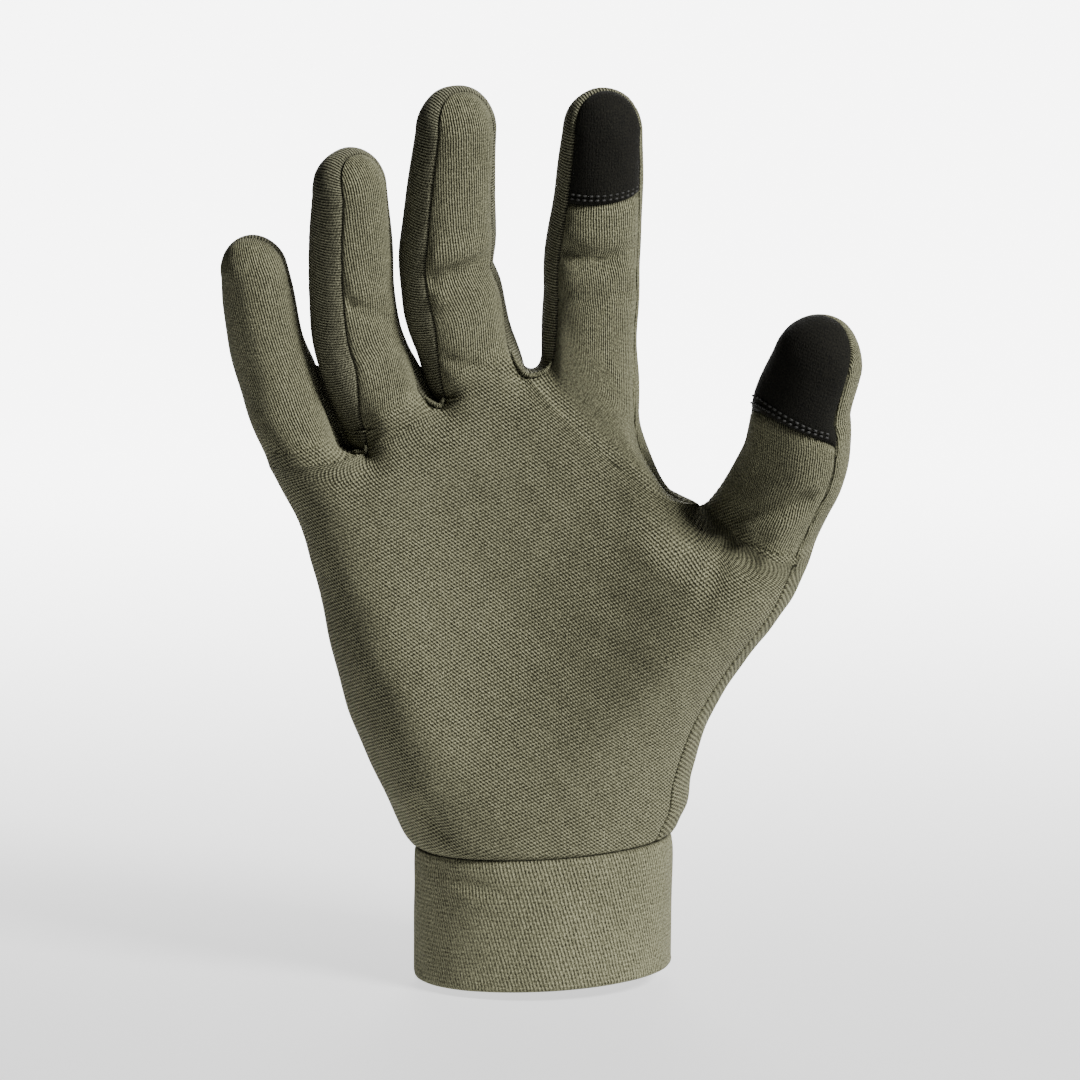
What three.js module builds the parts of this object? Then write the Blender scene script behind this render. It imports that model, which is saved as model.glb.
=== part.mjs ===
// A right-hand glove liner of thin knit cloth, filled out as a worn glove is, palm towards -Y and fingertips up.
// It is sewn from a palm panel, a back panel, three fourchettes that run between the fingers and over their tips,
// two black touch tips and a cuff folded double. All lengths are in millimetres, and z = 0 is the cuff's hem.
//
// One function gives the cloth's surface at a depth under its outer face. Each panel is that surface twice,
// once outside and once a wall deeper, closed along its seams, so neighbours always meet on the same seam lines.
import * as THREE from "three";

// Cuff
const cuffWidth = 64;
const cuffDepth = 42;
const cuffHeight = 33.5;
const cuffWall = 2.4;
const cuffRounding = 0.7;
const cuffTilt = 3;

// Palm, from the cuff's seam to the crotch between middle and index finger
const palmLength = 116;
const palmSpan = 125;
const palmFront = 14.5;
const palmBack = 14;
const thumbForward = 11;
const littleForward = 5;
const seamFromEdge = 4.4;

// Digits, each from its root to the centre of its round tip
const littleLength = 44.5;
const littleWidth = 18.4;
const ringLength = 57.8;
const ringWidth = 21;
const middleLength = 64;
const middleWidth = 22.6;
const indexLength = 67;
const indexWidth = 22.6;
const thumbLength = 46;
const thumbWidth = 25;

// Cloth and seams
const clothWall = 1.2;
const seamGap = 0.3;
const sharpestCorner = 0.5;

// How finely the surface is faceted
const columnsPerHalf = 3;
const palmRows = 9;
const lowerRows = 8;
const upperRows = 4;
const rowCrowding = 1.9;
const capRows = 4;
const fourchetteColumns = 3;
const cuffSides = 44;

// Turns rows of numbers into records, so that each column has a name.
const table = (names, rows) =>
  rows.map((row) => Object.fromEntries(names.split(" ").map((name, i) => [name, row[i]])));

// Heights are shares of the palm's length, and edges shares of its span. The cuff gives the lowest row.
const palmOutline = [
  { up: 0, little: -cuffWidth / 2, thumb: cuffWidth / 2 },
  ...table("up little thumb", [
    [0.03, -0.274, 0.269],
    [0.066, -0.29, 0.284],
    [0.131, -0.318, 0.292],
    [0.262, -0.372, 0.33],
    [0.393, -0.407, 0.394],
    [0.522, -0.431, 0.474],
    [0.612, -0.45, 0.51],
    [0.719, -0.484, 0.54],
    [0.847, -0.548, 0.58],
    [1.0, -0.6, 0.62],
  ]).map((row) => ({ up: row.up, little: row.little * palmSpan, thumb: row.thumb * palmSpan })),
];

// How far the palm stands in front of and behind its middle, as shares of the palm's own depths, and how wide
// its rounded rim is, as a share of its width there. The cuff gives the lowest row again.
const palmBody = [
  { up: 0, front: cuffDepth / 2, back: cuffDepth / 2, rim: 0.5 },
  ...table("up front back rim", [
    [0.13, 1.4, 1.34, 0.42],
    [0.3, 1.26, 1.14, 0.3],
    [0.5, 1.08, 1.02, 0.19],
    [0.75, 0.94, 0.98, 0.13],
    [1.0, 0.88, 0.88, 0.12],
  ]).map((row) => ({ up: row.up, front: row.front * palmFront, back: row.back * palmBack, rim: row.rim })),
];

// Swellings and hollows of the palm and the back of the hand, as shares of the palm's span, length and front depth.
// turn is the long axis' lean in degrees towards the thumb.
const palmForms = table("name face across up wide tall turn rise", [
  ["heel of the thumb", 1, 0.235, 0.45, 0.15, 0.27, 32, 0.56],
  ["heel of the little finger", 1, -0.27, 0.3, 0.12, 0.24, -12, 0.3],
  ["hollow of the palm", 1, -0.05, 0.52, 0.17, 0.2, 10, -0.24],
  ["pads under the fingers", 1, -0.22, 0.82, 0.2, 0.07, -24, 0.14],
  ["knuckles", -1, -0.14, 0.78, 0.34, 0.12, -12, 0.18],
  ["fold over the cuff", 1, -0.3, 0.13, 0.06, 0.04, 0, 0.2],
  ["fold at the thumb web", 1, 0.335, 0.62, 0.02, 0.075, 24, -0.16],
  ["fold at the thumb root", 1, 0.4, 0.66, 0.025, 0.08, 30, -0.14],
]);

// Where the digits part. front and back are the ends of the web as shares of the palm's depths, shift and drop
// place its back end, and round is the radius of the U, all as shares of the palm's front depth.
const crotches = table("across up middle front back shift drop round dent", [
  [-0.341, 0.85, -0.24, 0.5, 0.55, -0.36, 0.2, 0.28, 0.6],
  [-0.199, 0.945, -0.1, 0.57, 0.58, -0.17, 0.1, 0.26, 0.6],
  [-0.034, 1.012, -0.03, 0.6, 0.62, -0.03, 0.14, 0.45, 0.7],
  [0.306, 0.728, -0.12, 0, 0, 0, 0, 1.7, 1.25],
]);

// Where the panels' strips start at the cuff, as shares of the cuff's width, one line for each crotch.
const cuffLines = [-0.32, -0.15, 0.03, 0.22];
const edgeTops = { little: 0.81, thumb: 0.635 };

// The digits' sections. along is a share of the digit's length, side of its width, forward of its length, and
// wide and thick of its width.
const littleSections = table("along side forward wide thick", [
  [0, -0.08, 0, 1.11, 1.12],
  [0.3, -0.105, 0.04, 1.03, 1.0],
  [0.58, -0.11, 0.11, 0.98, 0.93],
  [0.83, -0.05, 0.2, 0.95, 0.89],
  [1, 0, 0.27, 0.87, 0.82],
]);
const ringSections = table("along side forward wide thick", [
  [0, -0.03, 0, 1.04, 1.08],
  [0.13, -0.115, 0.01, 1.07, 1.04],
  [0.34, -0.23, 0.05, 1.08, 0.96],
  [0.53, -0.205, 0.12, 1.05, 0.92],
  [0.78, -0.105, 0.22, 1.0, 0.86],
  [1, 0, 0.31, 0.89, 0.8],
]);
const middleSections = table("along side forward wide thick", [
  [0, 0.025, 0, 1.03, 1.06],
  [0.18, -0.115, 0.01, 1.06, 1.0],
  [0.35, -0.2, 0.04, 1.12, 0.96],
  [0.47, -0.235, 0.085, 1.04, 0.9],
  [0.58, -0.19, 0.12, 1.045, 0.9],
  [0.76, -0.12, 0.19, 0.95, 0.84],
  [1, 0, 0.27, 0.87, 0.78],
]);
const indexSections = table("along side forward wide thick", [
  [0, 0, 0, 1.04, 1.06],
  [0.23, -0.04, 0.01, 1.03, 0.98],
  [0.41, -0.04, 0.035, 1.04, 0.92],
  [0.5, -0.05, 0.06, 1.04, 0.9],
  [0.61, -0.035, 0.085, 1.01, 0.88],
  [0.78, -0.01, 0.135, 0.94, 0.84],
  [1, 0.005, 0.2, 0.86, 0.78],
]);
const thumbSections = table("along side forward wide thick", [
  [0, 0.115, 0, 1.13, 0.98],
  [0.26, 0.135, 0.08, 1.06, 0.9],
  [0.45, 0.145, 0.15, 1.05, 0.86],
  [0.61, 0.09, 0.21, 1.02, 0.84],
  [0.77, 0.01, 0.27, 0.96, 0.82],
  [1, 0, 0.35, 0.88, 0.76],
]);

// A side of a digit has its front and back seams at angles from the middle of the palm's side, in degrees. Where
// both are one angle there is one seam and no fourchette. stop is where the digit's upper rows start. crown is how
// many degrees further round the front seam lies at the very tip.
const digits = [
  {
    name: "little", length: littleLength, width: littleWidth, sections: littleSections,
    across: -0.464, up: 0.862, depth: -0.28, lean: -13.8, rootRoll: -10, roll: 0, tip: 0.47,
    left: { front: 100, back: 100, stop: 0.6 }, right: { front: 80, back: 150, stop: 0.6 },
  },
  {
    name: "ring", length: ringLength, width: ringWidth, sections: ringSections,
    across: -0.292, up: 0.913, depth: -0.14, lean: -9, rootRoll: 10, roll: 40, tip: 0.47, crown: 25,
    left: { front: 45, back: 125, stop: 0.6 }, right: { front: 45, back: 120, stop: 0.6 },
  },
  {
    name: "middle", length: middleLength, width: middleWidth, sections: middleSections,
    across: -0.124, up: 0.974, depth: -0.06, lean: -4.5, rootRoll: 0, roll: 27, tip: 0.46, crown: 25,
    left: { front: 49, back: 128, stop: 0.6 }, right: { front: 50, back: 120, stop: 0.6 },
  },
  {
    name: "index", length: indexLength, width: indexWidth, sections: indexSections,
    across: 0.092, up: 0.94, depth: -0.06, lean: 2, rootRoll: 6, roll: 14, tip: 0.46, crown: 26, sag: 0.05,
    left: { front: 58, back: 135, stop: 0.771 }, right: { front: 60, back: 60, stop: 0.803 },
  },
  {
    name: "thumb", length: thumbLength, width: thumbWidth, sections: thumbSections,
    across: 0.4, up: 0.681, depth: -0.72, lean: 18.2, rootRoll: -34, roll: -30, tip: 0.47, crown: 20,
    patchBow: 0.08,
    left: { front: 75, back: 75, stop: 0.69 }, right: { front: 70, back: 70, stop: 0.63 },
  },
];
// The share of a digit's length over which its seams turn from rootRoll to roll.
const rolledBy = 0.35;
const patched = ["index", "thumb"];

// Where the fourchettes of one digit meet or end on its round tip, in degrees from its right side. taper is the
// side on which a fourchette that ends alone has narrowed to nothing.
const tipEnds = {
  little: { meet: 180, taper: 180 },
  ring: { meet: 45 },
  middle: { meet: 45 },
  index: { meet: 0, taper: 0 },
};

const clamp = (value, low, high) => Math.min(Math.max(value, low), high);
const mix = (a, b, share) => a + (b - a) * share;
const ease = (share) => {
  const s = clamp(share, 0, 1);
  return s * s * (3 - 2 * s);
};
// Rises from 0 to 1 as the side of a round fillet does, upright at its foot.
const fillet = (share) => Math.sqrt(1 - (1 - clamp(share, 0, 1)) ** 2);
const radians = THREE.MathUtils.degToRad;
const quarter = Math.PI / 2;

// A smooth curve through a table's rows, straight on past its first row and level past its last.
function read(rows, key, column, at) {
  const last = rows.length - 1;
  const slope = (i) => {
    const a = rows[Math.max(i - 1, 0)];
    const b = rows[Math.min(i + 1, last)];
    return (b[column] - a[column]) / (b[key] - a[key]);
  };
  if (at <= rows[0][key]) return rows[0][column];
  if (at >= rows[last][key]) return rows[last][column];
  const i = rows.findIndex((row) => row[key] > at) - 1;
  const [low, high] = [rows[i], rows[i + 1]];
  const step = high[key] - low[key];
  const t = (at - low[key]) / step;
  return (
    low[column] * (1 + 2 * t) * (1 - t) ** 2 +
    slope(i) * step * t * (1 - t) ** 2 +
    high[column] * t * t * (3 - 2 * t) -
    slope(i + 1) * step * t * t * (1 - t)
  );
}

// How far the cuff's seam and hem rise towards the thumb.
const tiltRise = (x) => x * Math.tan(radians(cuffTilt));
const palmShare = (z) => (z - cuffHeight) / palmLength;
const palmHeight = (up) => cuffHeight + up * palmLength;

// Across the palm, q runs from the little-finger edge to the thumb edge: round the rim by angle, straight between.
const acrossOf = (q, rim) => {
  if (q < rim) return rim * (1 - Math.cos((quarter * q) / rim));
  if (q > 1 - rim) return 1 - rim * (1 - Math.cos((quarter * (1 - q)) / rim));
  return q;
};
const qOf = (across, rim) => {
  const a = clamp(across, 0, 1);
  if (a < rim) return (rim * Math.acos(1 - a / rim)) / quarter;
  if (a > 1 - rim) return 1 - (rim * Math.acos(1 - (1 - a) / rim)) / quarter;
  return a;
};
const rimHeight = (q, rim) => Math.sin(quarter * Math.min(1, q / rim, (1 - q) / rim));

function palmSection(z, inset) {
  const up = palmShare(z);
  const little = read(palmOutline, "up", "little", up) + inset;
  const thumb = read(palmOutline, "up", "thumb", up) - inset;
  return {
    little,
    span: thumb - little,
    front: read(palmBody, "up", "front", up) - inset,
    back: read(palmBody, "up", "back", up) - inset,
    rim: read(palmBody, "up", "rim", up),
  };
}

// The palm's middle surface comes forward towards the thumb and towards the little finger, as a cupped hand does.
function palmMiddle(x, z) {
  const up = palmShare(z);
  const thumb = ease((x / palmSpan - 0.12) / 0.34) * ease((up - 0.1) / 0.5);
  const little = ease((-x / palmSpan - 0.12) / 0.36) * ease((up - 0.2) / 0.5);
  return -thumbForward * thumb - littleForward * little;
}

function palmForm(face, x, z) {
  return palmForms
    .filter((form) => form.face === face)
    .reduce((sum, form) => {
      const dx = x / palmSpan - form.across;
      const dz = ((z - cuffHeight) / palmLength - form.up) * (palmLength / palmSpan);
      const turn = radians(form.turn);
      const u = (dx * Math.cos(turn) - dz * Math.sin(turn)) / form.wide;
      const v = (dx * Math.sin(turn) + dz * Math.cos(turn)) / (form.tall * (palmLength / palmSpan));
      return sum + form.rise * palmFront * Math.exp(-u * u - v * v);
    }, 0);
}

// The seam's end in a crotch on one face of the hand. face is 1 in front and -1 behind.
function crotchPoint(crotch, face, inset) {
  const middle = crotch.middle * palmFront;
  const half = face > 0 ? crotch.front * palmFront : crotch.back * palmBack;
  const behind = face > 0 ? 0 : 1;
  return new THREE.Vector3(
    crotch.across * palmSpan + behind * crotch.shift * palmFront,
    middle - face * Math.max(half - inset, 0),
    palmHeight(crotch.up) - behind * crotch.drop * palmFront - inset,
  );
}

// The palm's or back's surface at q and z. q past 1 goes round the thumb edge to the other face.
function palmPoint(face, q, z, inset) {
  const section = palmSection(z, inset);
  const side = q > 1 ? -face : face;
  const within = q > 1 ? 2 - q : q;
  const x = section.little + section.span * acrossOf(within, section.rim);
  const rise = rimHeight(within, section.rim);
  const depth = side > 0 ? section.front : section.back;
  let y = palmMiddle(x, z) - side * rise * (depth + palmForm(side, x, z));
  for (const crotch of crotches) {
    const point = crotchPoint(crotch, side, inset);
    const reach = Math.hypot(point.x - x, point.z - z) / (crotch.dent * palmFront);
    y = mix(y, point.y, (1 - clamp(reach, 0, 1)) ** 2);
  }
  return new THREE.Vector3(x, y, z);
}

// The palm's strips meet along lines from the cuff to the crotches. Line 0 is the little-finger seam and the last
// line the thumb seam, which lies a little in front of the thumb edge.
function palmLine(face, line, share, inset) {
  if (line === 0) {
    return { q: 0, z: mix(cuffHeight, palmHeight(edgeTops.little), share) };
  }
  if (line === digits.length) {
    const z = mix(cuffHeight, palmHeight(edgeTops.thumb), share);
    const section = palmSection(z, inset);
    const q = qOf(1 - Math.max(seamFromEdge - inset, 0) / section.span, section.rim);
    return { q: face > 0 ? q : 2 - q, z };
  }
  const end = crotchPoint(crotches[line - 1], face, inset);
  const x = mix(cuffLines[line - 1] * cuffWidth, end.x, share);
  const z = mix(cuffHeight, end.z, share);
  const section = palmSection(z, inset);
  return { q: qOf((x - section.little) / section.span, section.rim), z };
}

// How far a strip's upper end sags between its corners.
const sagOf = (digit, b) => (digit.sag ?? 0) * palmLength * (1 - b * b);

function palmStrip(face, strip, share, b, inset) {
  const left = palmLine(face, strip, share, inset);
  const right = palmLine(face, strip + 1, share, inset);
  const across = (b + 1) / 2;
  const z = mix(left.z, right.z, across) - sagOf(digits[strip], b) * share * share;
  const point = palmPoint(face, mix(left.q, right.q, across), z, inset);
  point.z += tiltRise(point.x) * (1 - share);
  return point;
}

// A digit's spine runs from its root up its lean, and its tables bend it sideways and forwards.
function spine(digit, along) {
  const share = along / digit.length;
  const lean = radians(digit.lean);
  const up = new THREE.Vector3(Math.sin(lean), 0, Math.cos(lean));
  const right = new THREE.Vector3(Math.cos(lean), 0, -Math.sin(lean));
  return new THREE.Vector3(digit.across * palmSpan, digit.depth * palmFront, palmHeight(digit.up))
    .addScaledVector(up, along)
    .addScaledVector(right, read(digit.sections, "along", "side", share) * digit.width)
    .addScaledVector(new THREE.Vector3(0, -1, 0), read(digit.sections, "along", "forward", share) * digit.length);
}

function digitFrame(digit, along) {
  const step = 0.02 * digit.length;
  const tangent = spine(digit, along + step / 2).sub(spine(digit, along - step / 2)).normalize();
  const plainFront = new THREE.Vector3(0, -1, 0);
  plainFront.addScaledVector(tangent, -plainFront.dot(tangent)).normalize();
  const plainRight = new THREE.Vector3().crossVectors(tangent, plainFront);
  const roll = radians(mix(digit.rootRoll, digit.roll, ease(along / digit.length / rolledBy)));
  return {
    tangent,
    front: plainFront.clone().multiplyScalar(Math.cos(roll)).addScaledVector(plainRight, Math.sin(roll)),
    right: plainRight.clone().multiplyScalar(Math.cos(roll)).addScaledVector(plainFront, -Math.sin(roll)),
  };
}

const halfWide = (digit, share) => (read(digit.sections, "along", "wide", share) * digit.width) / 2;
const halfThick = (digit, share) => (read(digit.sections, "along", "thick", share) * digit.width) / 2;

// The digit's round side. angle is from the middle of its palm side, positive to the right.
function tubePoint(digit, along, angle, inset) {
  const share = along / digit.length;
  const { front, right } = digitFrame(digit, along);
  return spine(digit, along)
    .addScaledVector(right, (halfWide(digit, share) - inset) * Math.sin(angle))
    .addScaledVector(front, (halfThick(digit, share) - inset) * Math.cos(angle));
}

// The digit's tip, half an ellipsoid. azimuth goes from its right side over the tip to its left side, and angle
// from the middle of its palm side round to its back.
function capPoint(digit, azimuth, angle, inset) {
  const { tangent, front, right } = digitFrame(digit, digit.length);
  return spine(digit, digit.length)
    .addScaledVector(right, (halfWide(digit, 1) - inset) * Math.cos(azimuth) * Math.sin(angle))
    .addScaledVector(tangent, (digit.tip * digit.width - inset) * Math.sin(azimuth) * Math.sin(angle))
    .addScaledVector(front, (halfThick(digit, 1) - inset) * Math.cos(angle));
}

// How far along the digit's spine a point lies, measured up its lean.
function alongOf(digit, point) {
  const lean = radians(digit.lean);
  const root = spine(digit, 0);
  return (point.x - root.x) * Math.sin(lean) + (point.z - root.z) * Math.cos(lean);
}

// Where a side of the digit starts, on one face of the hand, and how quickly it leaves the palm's shape there.
function sideStart(digit, side, face, inset) {
  const i = digits.indexOf(digit);
  const line = side < 0 ? i : i + 1;
  const crotch = crotches[line - 1];
  if (crotch) {
    const point = crotchPoint(crotch, face, inset);
    const round = crotch.round * palmFront;
    return { point, along: alongOf(digit, point), law: (run) => fillet(run / round) };
  }
  const { q, z } = palmLine(face, line, 1, inset);
  const point = palmPoint(face, q, z, inset);
  return { point, along: alongOf(digit, point), law: (run) => ease(run / digit.width) };
}

// Rows of a digit: from its start to its stop, closer together near the start, and then evenly to its tip.
const rowAt = (row) =>
  row <= lowerRows ? { part: 0, t: (row / lowerRows) ** rowCrowding } : { part: 1, t: (row - lowerRows) / upperRows };
const rowAlong = (row, start, stop, end) => {
  const { part, t } = rowAt(row);
  return part === 0 ? mix(start, stop, t) : mix(stop, end, t);
};

// The digit's palm side or back side. b runs from its left seam at -1 to its right seam at 1.
function facePoint(digit, face, row, b, inset) {
  const left = sideStart(digit, -1, face, inset);
  const right = sideStart(digit, 1, face, inset);
  const seam = b < 0 ? digit.left : digit.right;
  const seamAngle = radians(face > 0 ? seam.front : 180 - seam.back) * b;
  const angle = face > 0 ? seamAngle : Math.PI - seamAngle;
  const across = (b + 1) / 2;
  const bow = face > 0 ? (digit.patchBow ?? 0) * (1 - b * b) : 0;
  const start = mix(left.along, right.along, across) - sagOf(digit, b);
  const stop = (mix(digit.left.stop, digit.right.stop, across) + bow) * digit.length;
  const along = rowAlong(row, start, stop, digit.length);
  const run = along - start;
  const [nearLeft, nearRight] = [(1 - across) ** 3, across ** 3];
  const freed =
    nearLeft * left.law(run) +
    nearRight * right.law(run) +
    (1 - nearLeft - nearRight) * ease(run / digit.width);
  const onPalm = palmStrip(face, digits.indexOf(digit), 1, b, inset);
  const shift = onPalm.sub(tubePoint(digit, start, angle, inset)).multiplyScalar(1 - freed);
  return tubePoint(digit, along, angle, inset).add(shift);
}

// The seams' angles on the round tip, going from the right side's to the left side's.
function capSeam(digit, azimuth, which) {
  const share = ease(azimuth / Math.PI);
  const front = mix(digit.right.front, digit.left.front, share) + (digit.crown ?? 0) * Math.sin(azimuth);
  if (which === "front") return radians(front);
  const end = tipEnds[digit.name];
  if (!end) return radians(front);
  if (end.taper === undefined) return radians(mix(digit.right.back, digit.left.back, share));
  const full = end.taper === 0 ? digit.left.back - digit.left.front : digit.right.back - digit.right.front;
  const open = Math.abs(end.taper - THREE.MathUtils.radToDeg(azimuth)) / 180;
  return radians(front + full * ease(open * 1.6));
}

function capFacePoint(digit, face, row, b, inset) {
  const turn = (quarter * row) / capRows;
  const azimuth = b < 0 ? Math.PI - turn : turn;
  const seam = face > 0 ? capSeam(digit, azimuth, "front") : Math.PI - capSeam(digit, azimuth, "back");
  const angle = Math.abs(b) * seam;
  return capPoint(digit, azimuth, face > 0 ? angle : Math.PI - angle, inset);
}

// The fourchette's surface beside a digit. v runs from the front seam at 0 to the back seam at 1.
function sidePoint(digit, side, row, v, inset) {
  const front = sideStart(digit, side, 1, inset);
  const back = sideStart(digit, side, -1, inset);
  const seams = side < 0 ? digit.left : digit.right;
  const angle = side * radians(mix(seams.front, seams.back, v));
  const start = mix(front.along, back.along, v);
  const along = rowAlong(row, start, seams.stop * digit.length, digit.length);
  const web = webPoint(crotches[digits.indexOf(digit) + (side < 0 ? -1 : 0)], v, inset);
  const shift = web.sub(tubePoint(digit, start, angle, inset)).multiplyScalar(1 - front.law(along - start));
  return tubePoint(digit, along, angle, inset).add(shift);
}

// The web between two fingers, from its front end to its back end, arched a little upwards.
function webPoint(crotch, v, inset) {
  const arch = new THREE.Vector3(0, 0, 0.12 * palmFront * Math.sin(Math.PI * v));
  return crotchPoint(crotch, 1, inset).lerp(crotchPoint(crotch, -1, inset), v).add(arch);
}

function capSidePoint(digit, azimuth, v, inset) {
  const angle = mix(capSeam(digit, azimuth, "front"), capSeam(digit, azimuth, "back"), v);
  return capPoint(digit, azimuth, angle, inset);
}

// A panel collects patches of the surface. Points that coincide become one vertex, and every vertex has a partner
// on the inner skin. closed() draws the edges back from the seams and joins the two skins along them.
class Panel {
  constructor(wall) {
    this.wall = wall;
    this.skins = [[], []];
    this.known = new Map();
    this.faces = [];
  }

  vertex(at) {
    const pair = [at(0), at(this.wall)];
    const key = pair[0].toArray().map((value) => Math.round(value * 1e4)).join(" ");
    if (!this.known.has(key)) {
      this.known.set(key, this.skins[0].length);
      pair.forEach((point, skin) => this.skins[skin].push(point));
    }
    return this.known.get(key);
  }

  patch(rows, columns, at) {
    const ids = rows.map((row) => columns.map((column) => this.vertex((inset) => at(row, column, inset))));
    for (let r = 0; r + 1 < rows.length; r += 1) {
      for (let c = 0; c + 1 < columns.length; c += 1) {
        const [a, b, d, e] = [ids[r][c], ids[r][c + 1], ids[r + 1][c + 1], ids[r + 1][c]];
        const outer = this.skins[0];
        const flip = outer[a].distanceTo(outer[d]) > outer[b].distanceTo(outer[e]);
        const pair = flip ? [[a, b, e], [b, d, e]] : [[a, b, d], [a, d, e]];
        this.faces.push(...pair.filter((face) => new Set(face).size === 3));
      }
    }
    return this;
  }

  // The edges that only one face has, each with that face.
  rimEdges() {
    const edges = new Map();
    for (const face of this.faces) {
      face.forEach((a, i) => {
        const b = face[(i + 1) % 3];
        const back = b + " " + a;
        if (edges.has(back)) edges.delete(back);
        else edges.set(a + " " + b, { a, b, face });
      });
    }
    return [...edges.values()];
  }

  // Moves each edge half a seam gap into the panel, square to the edge and alike on both skins.
  drawBack(edges) {
    const middle = this.skins[0].map((point, id) => point.clone().lerp(this.skins[1][id], 0.5));
    const away = new Map();
    for (const { a, b, face } of edges) {
      const [p, q, r] = face.map((id) => middle[id]);
      const normal = new THREE.Vector3().crossVectors(q.clone().sub(p), r.clone().sub(p));
      const into = normal.cross(middle[b].clone().sub(middle[a])).normalize();
      for (const id of [a, b]) away.set(id, [...(away.get(id) ?? []), into]);
    }
    for (const [id, sides] of away) {
      const inward = sides.reduce((sum, side) => sum.add(side), new THREE.Vector3()).normalize();
      const square = Math.max(inward.dot(sides[0]), sharpestCorner);
      for (const points of this.skins) points[id].addScaledVector(inward, seamGap / 2 / square);
    }
  }

  closed() {
    const edges = this.rimEdges();
    this.drawBack(edges);
    const shift = this.skins[0].length;
    const triangles = [
      ...this.faces,
      ...this.faces.map(([a, b, c]) => [c + shift, b + shift, a + shift]),
      ...edges.flatMap(({ a, b }) => [[b, a, a + shift], [b, a + shift, b + shift]]),
    ];
    return solidGeometry(this.skins.flat(), triangles);
  }
}

// A geometry from points and triangles, turned so that its faces point out.
function solidGeometry(points, triangles) {
  const volume = triangles.reduce(
    (sum, [a, b, c]) => sum + points[a].dot(new THREE.Vector3().crossVectors(points[b], points[c])),
    0,
  );
  const outward = volume < 0 ? triangles.map(([a, b, c]) => [a, c, b]) : triangles;
  const geometry = new THREE.BufferGeometry().setFromPoints(points);
  geometry.setIndex(outward.flat());
  geometry.computeVertexNormals();
  return geometry;
}

const count = (from, to) => Array.from({ length: to - from + 1 }, (_, i) => from + i);
const columns = count(-columnsPerHalf, columnsPerHalf).map((i) => i / columnsPerHalf);
const digitRows = lowerRows + upperRows;

// The palm panel or the back panel: the palm's strips, then each digit up to its tip or to its touch tip.
function handPanel(face) {
  const panel = new Panel(clothWall);
  const shares = count(0, palmRows).map((i) => 1 - (1 - i / palmRows) ** 1.25);
  digits.forEach((digit, strip) => {
    panel.patch(shares, columns, (share, b, inset) => palmStrip(face, strip, share, b, inset));
    const cut = face > 0 && patched.includes(digit.name);
    panel.patch(count(0, cut ? lowerRows : digitRows), columns, (row, b, inset) =>
      facePoint(digit, face, row, b, inset),
    );
    if (!cut) addCap(panel, digit, face);
  });
  return panel.closed();
}

function addCap(panel, digit, face) {
  const halves = [columns.filter((b) => b <= 0), columns.filter((b) => b >= 0)];
  halves.forEach((half, i) => {
    // b = 0 is the pole, which both halves share; a tiny b keeps each half on its own side.
    const own = half.map((b) => b || (i === 0 ? -Number.MIN_VALUE : 0));
    panel.patch(count(0, capRows), own, (row, b, inset) => capFacePoint(digit, face, row, b, inset));
  });
}

function touchTip(name) {
  const digit = digits.find((d) => d.name === name);
  const panel = new Panel(clothWall);
  panel.patch(count(lowerRows, digitRows), columns, (row, b, inset) => facePoint(digit, 1, row, b, inset));
  addCap(panel, digit, 1);
  return panel.closed();
}

// A fourchette: over the tip of one finger, down its right side, round the crotch, up the next finger's left side
// and over its tip.
function fourchette(firstName) {
  const first = digits.findIndex((d) => d.name === firstName);
  const [one, two] = [digits[first], digits[first + 1]];
  const across = count(0, fourchetteColumns).map((i) => i / fourchetteColumns);
  const azimuths = count(0, 2 * capRows).map((i) => (quarter * i) / capRows);
  const meet = (digit) => radians(tipEnds[digit.name].meet) + 1e-9;
  const panel = new Panel(clothWall);
  const start = azimuths.filter((a) => a <= meet(one)).reverse();
  panel.patch(start, across, (a, v, inset) => capSidePoint(one, a, v, inset));
  panel.patch(count(0, digitRows).reverse(), across, (row, v, inset) => sidePoint(one, 1, row, v, inset));
  panel.patch(count(0, digitRows), across, (row, v, inset) => sidePoint(two, -1, row, v, inset));
  const last = azimuths.filter((a) => a >= meet(two) - 2e-9).reverse();
  panel.patch(last, across, (a, v, inset) => capSidePoint(two, a, v, inset));
  return panel.closed();
}

// The cuff: an oval band of double cloth, with its hem and its sewn edge both tilted.
function cuffBand() {
  const top = cuffHeight - seamGap / 2;
  const profile = table("inset rise", [
    [cuffRounding, 0],
    [0, cuffRounding],
    [0, top / 2],
    [0, top],
    [cuffWall, top],
    [cuffWall, top / 2],
    [cuffWall, cuffRounding],
    [cuffWall - cuffRounding, 0],
  ]);
  const points = [];
  const triangles = [];
  for (let i = 0; i < cuffSides; i += 1) {
    const angle = (2 * Math.PI * i) / cuffSides;
    for (const { inset, rise } of profile) {
      const x = (cuffWidth / 2 - inset) * Math.sin(angle);
      points.push(new THREE.Vector3(x, -(cuffDepth / 2 - inset) * Math.cos(angle), rise + tiltRise(x)));
    }
    for (let k = 0; k < profile.length; k += 1) {
      const [here, next] = [i, (i + 1) % cuffSides].map((side) => side * profile.length);
      const above = (k + 1) % profile.length;
      triangles.push([here + k, next + k, next + above], [here + k, next + above, here + above]);
    }
  }
  return solidGeometry(points, triangles);
}

const oliveKnit = new THREE.MeshStandardMaterial({ color: 0x6d6b52, roughness: 0.95, metalness: 0 });
const oliveRib = new THREE.MeshStandardMaterial({ color: 0x66644c, roughness: 0.95, metalness: 0 });
const touchCloth = new THREE.MeshStandardMaterial({ color: 0x1c1b17, roughness: 0.9, metalness: 0 });

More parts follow.
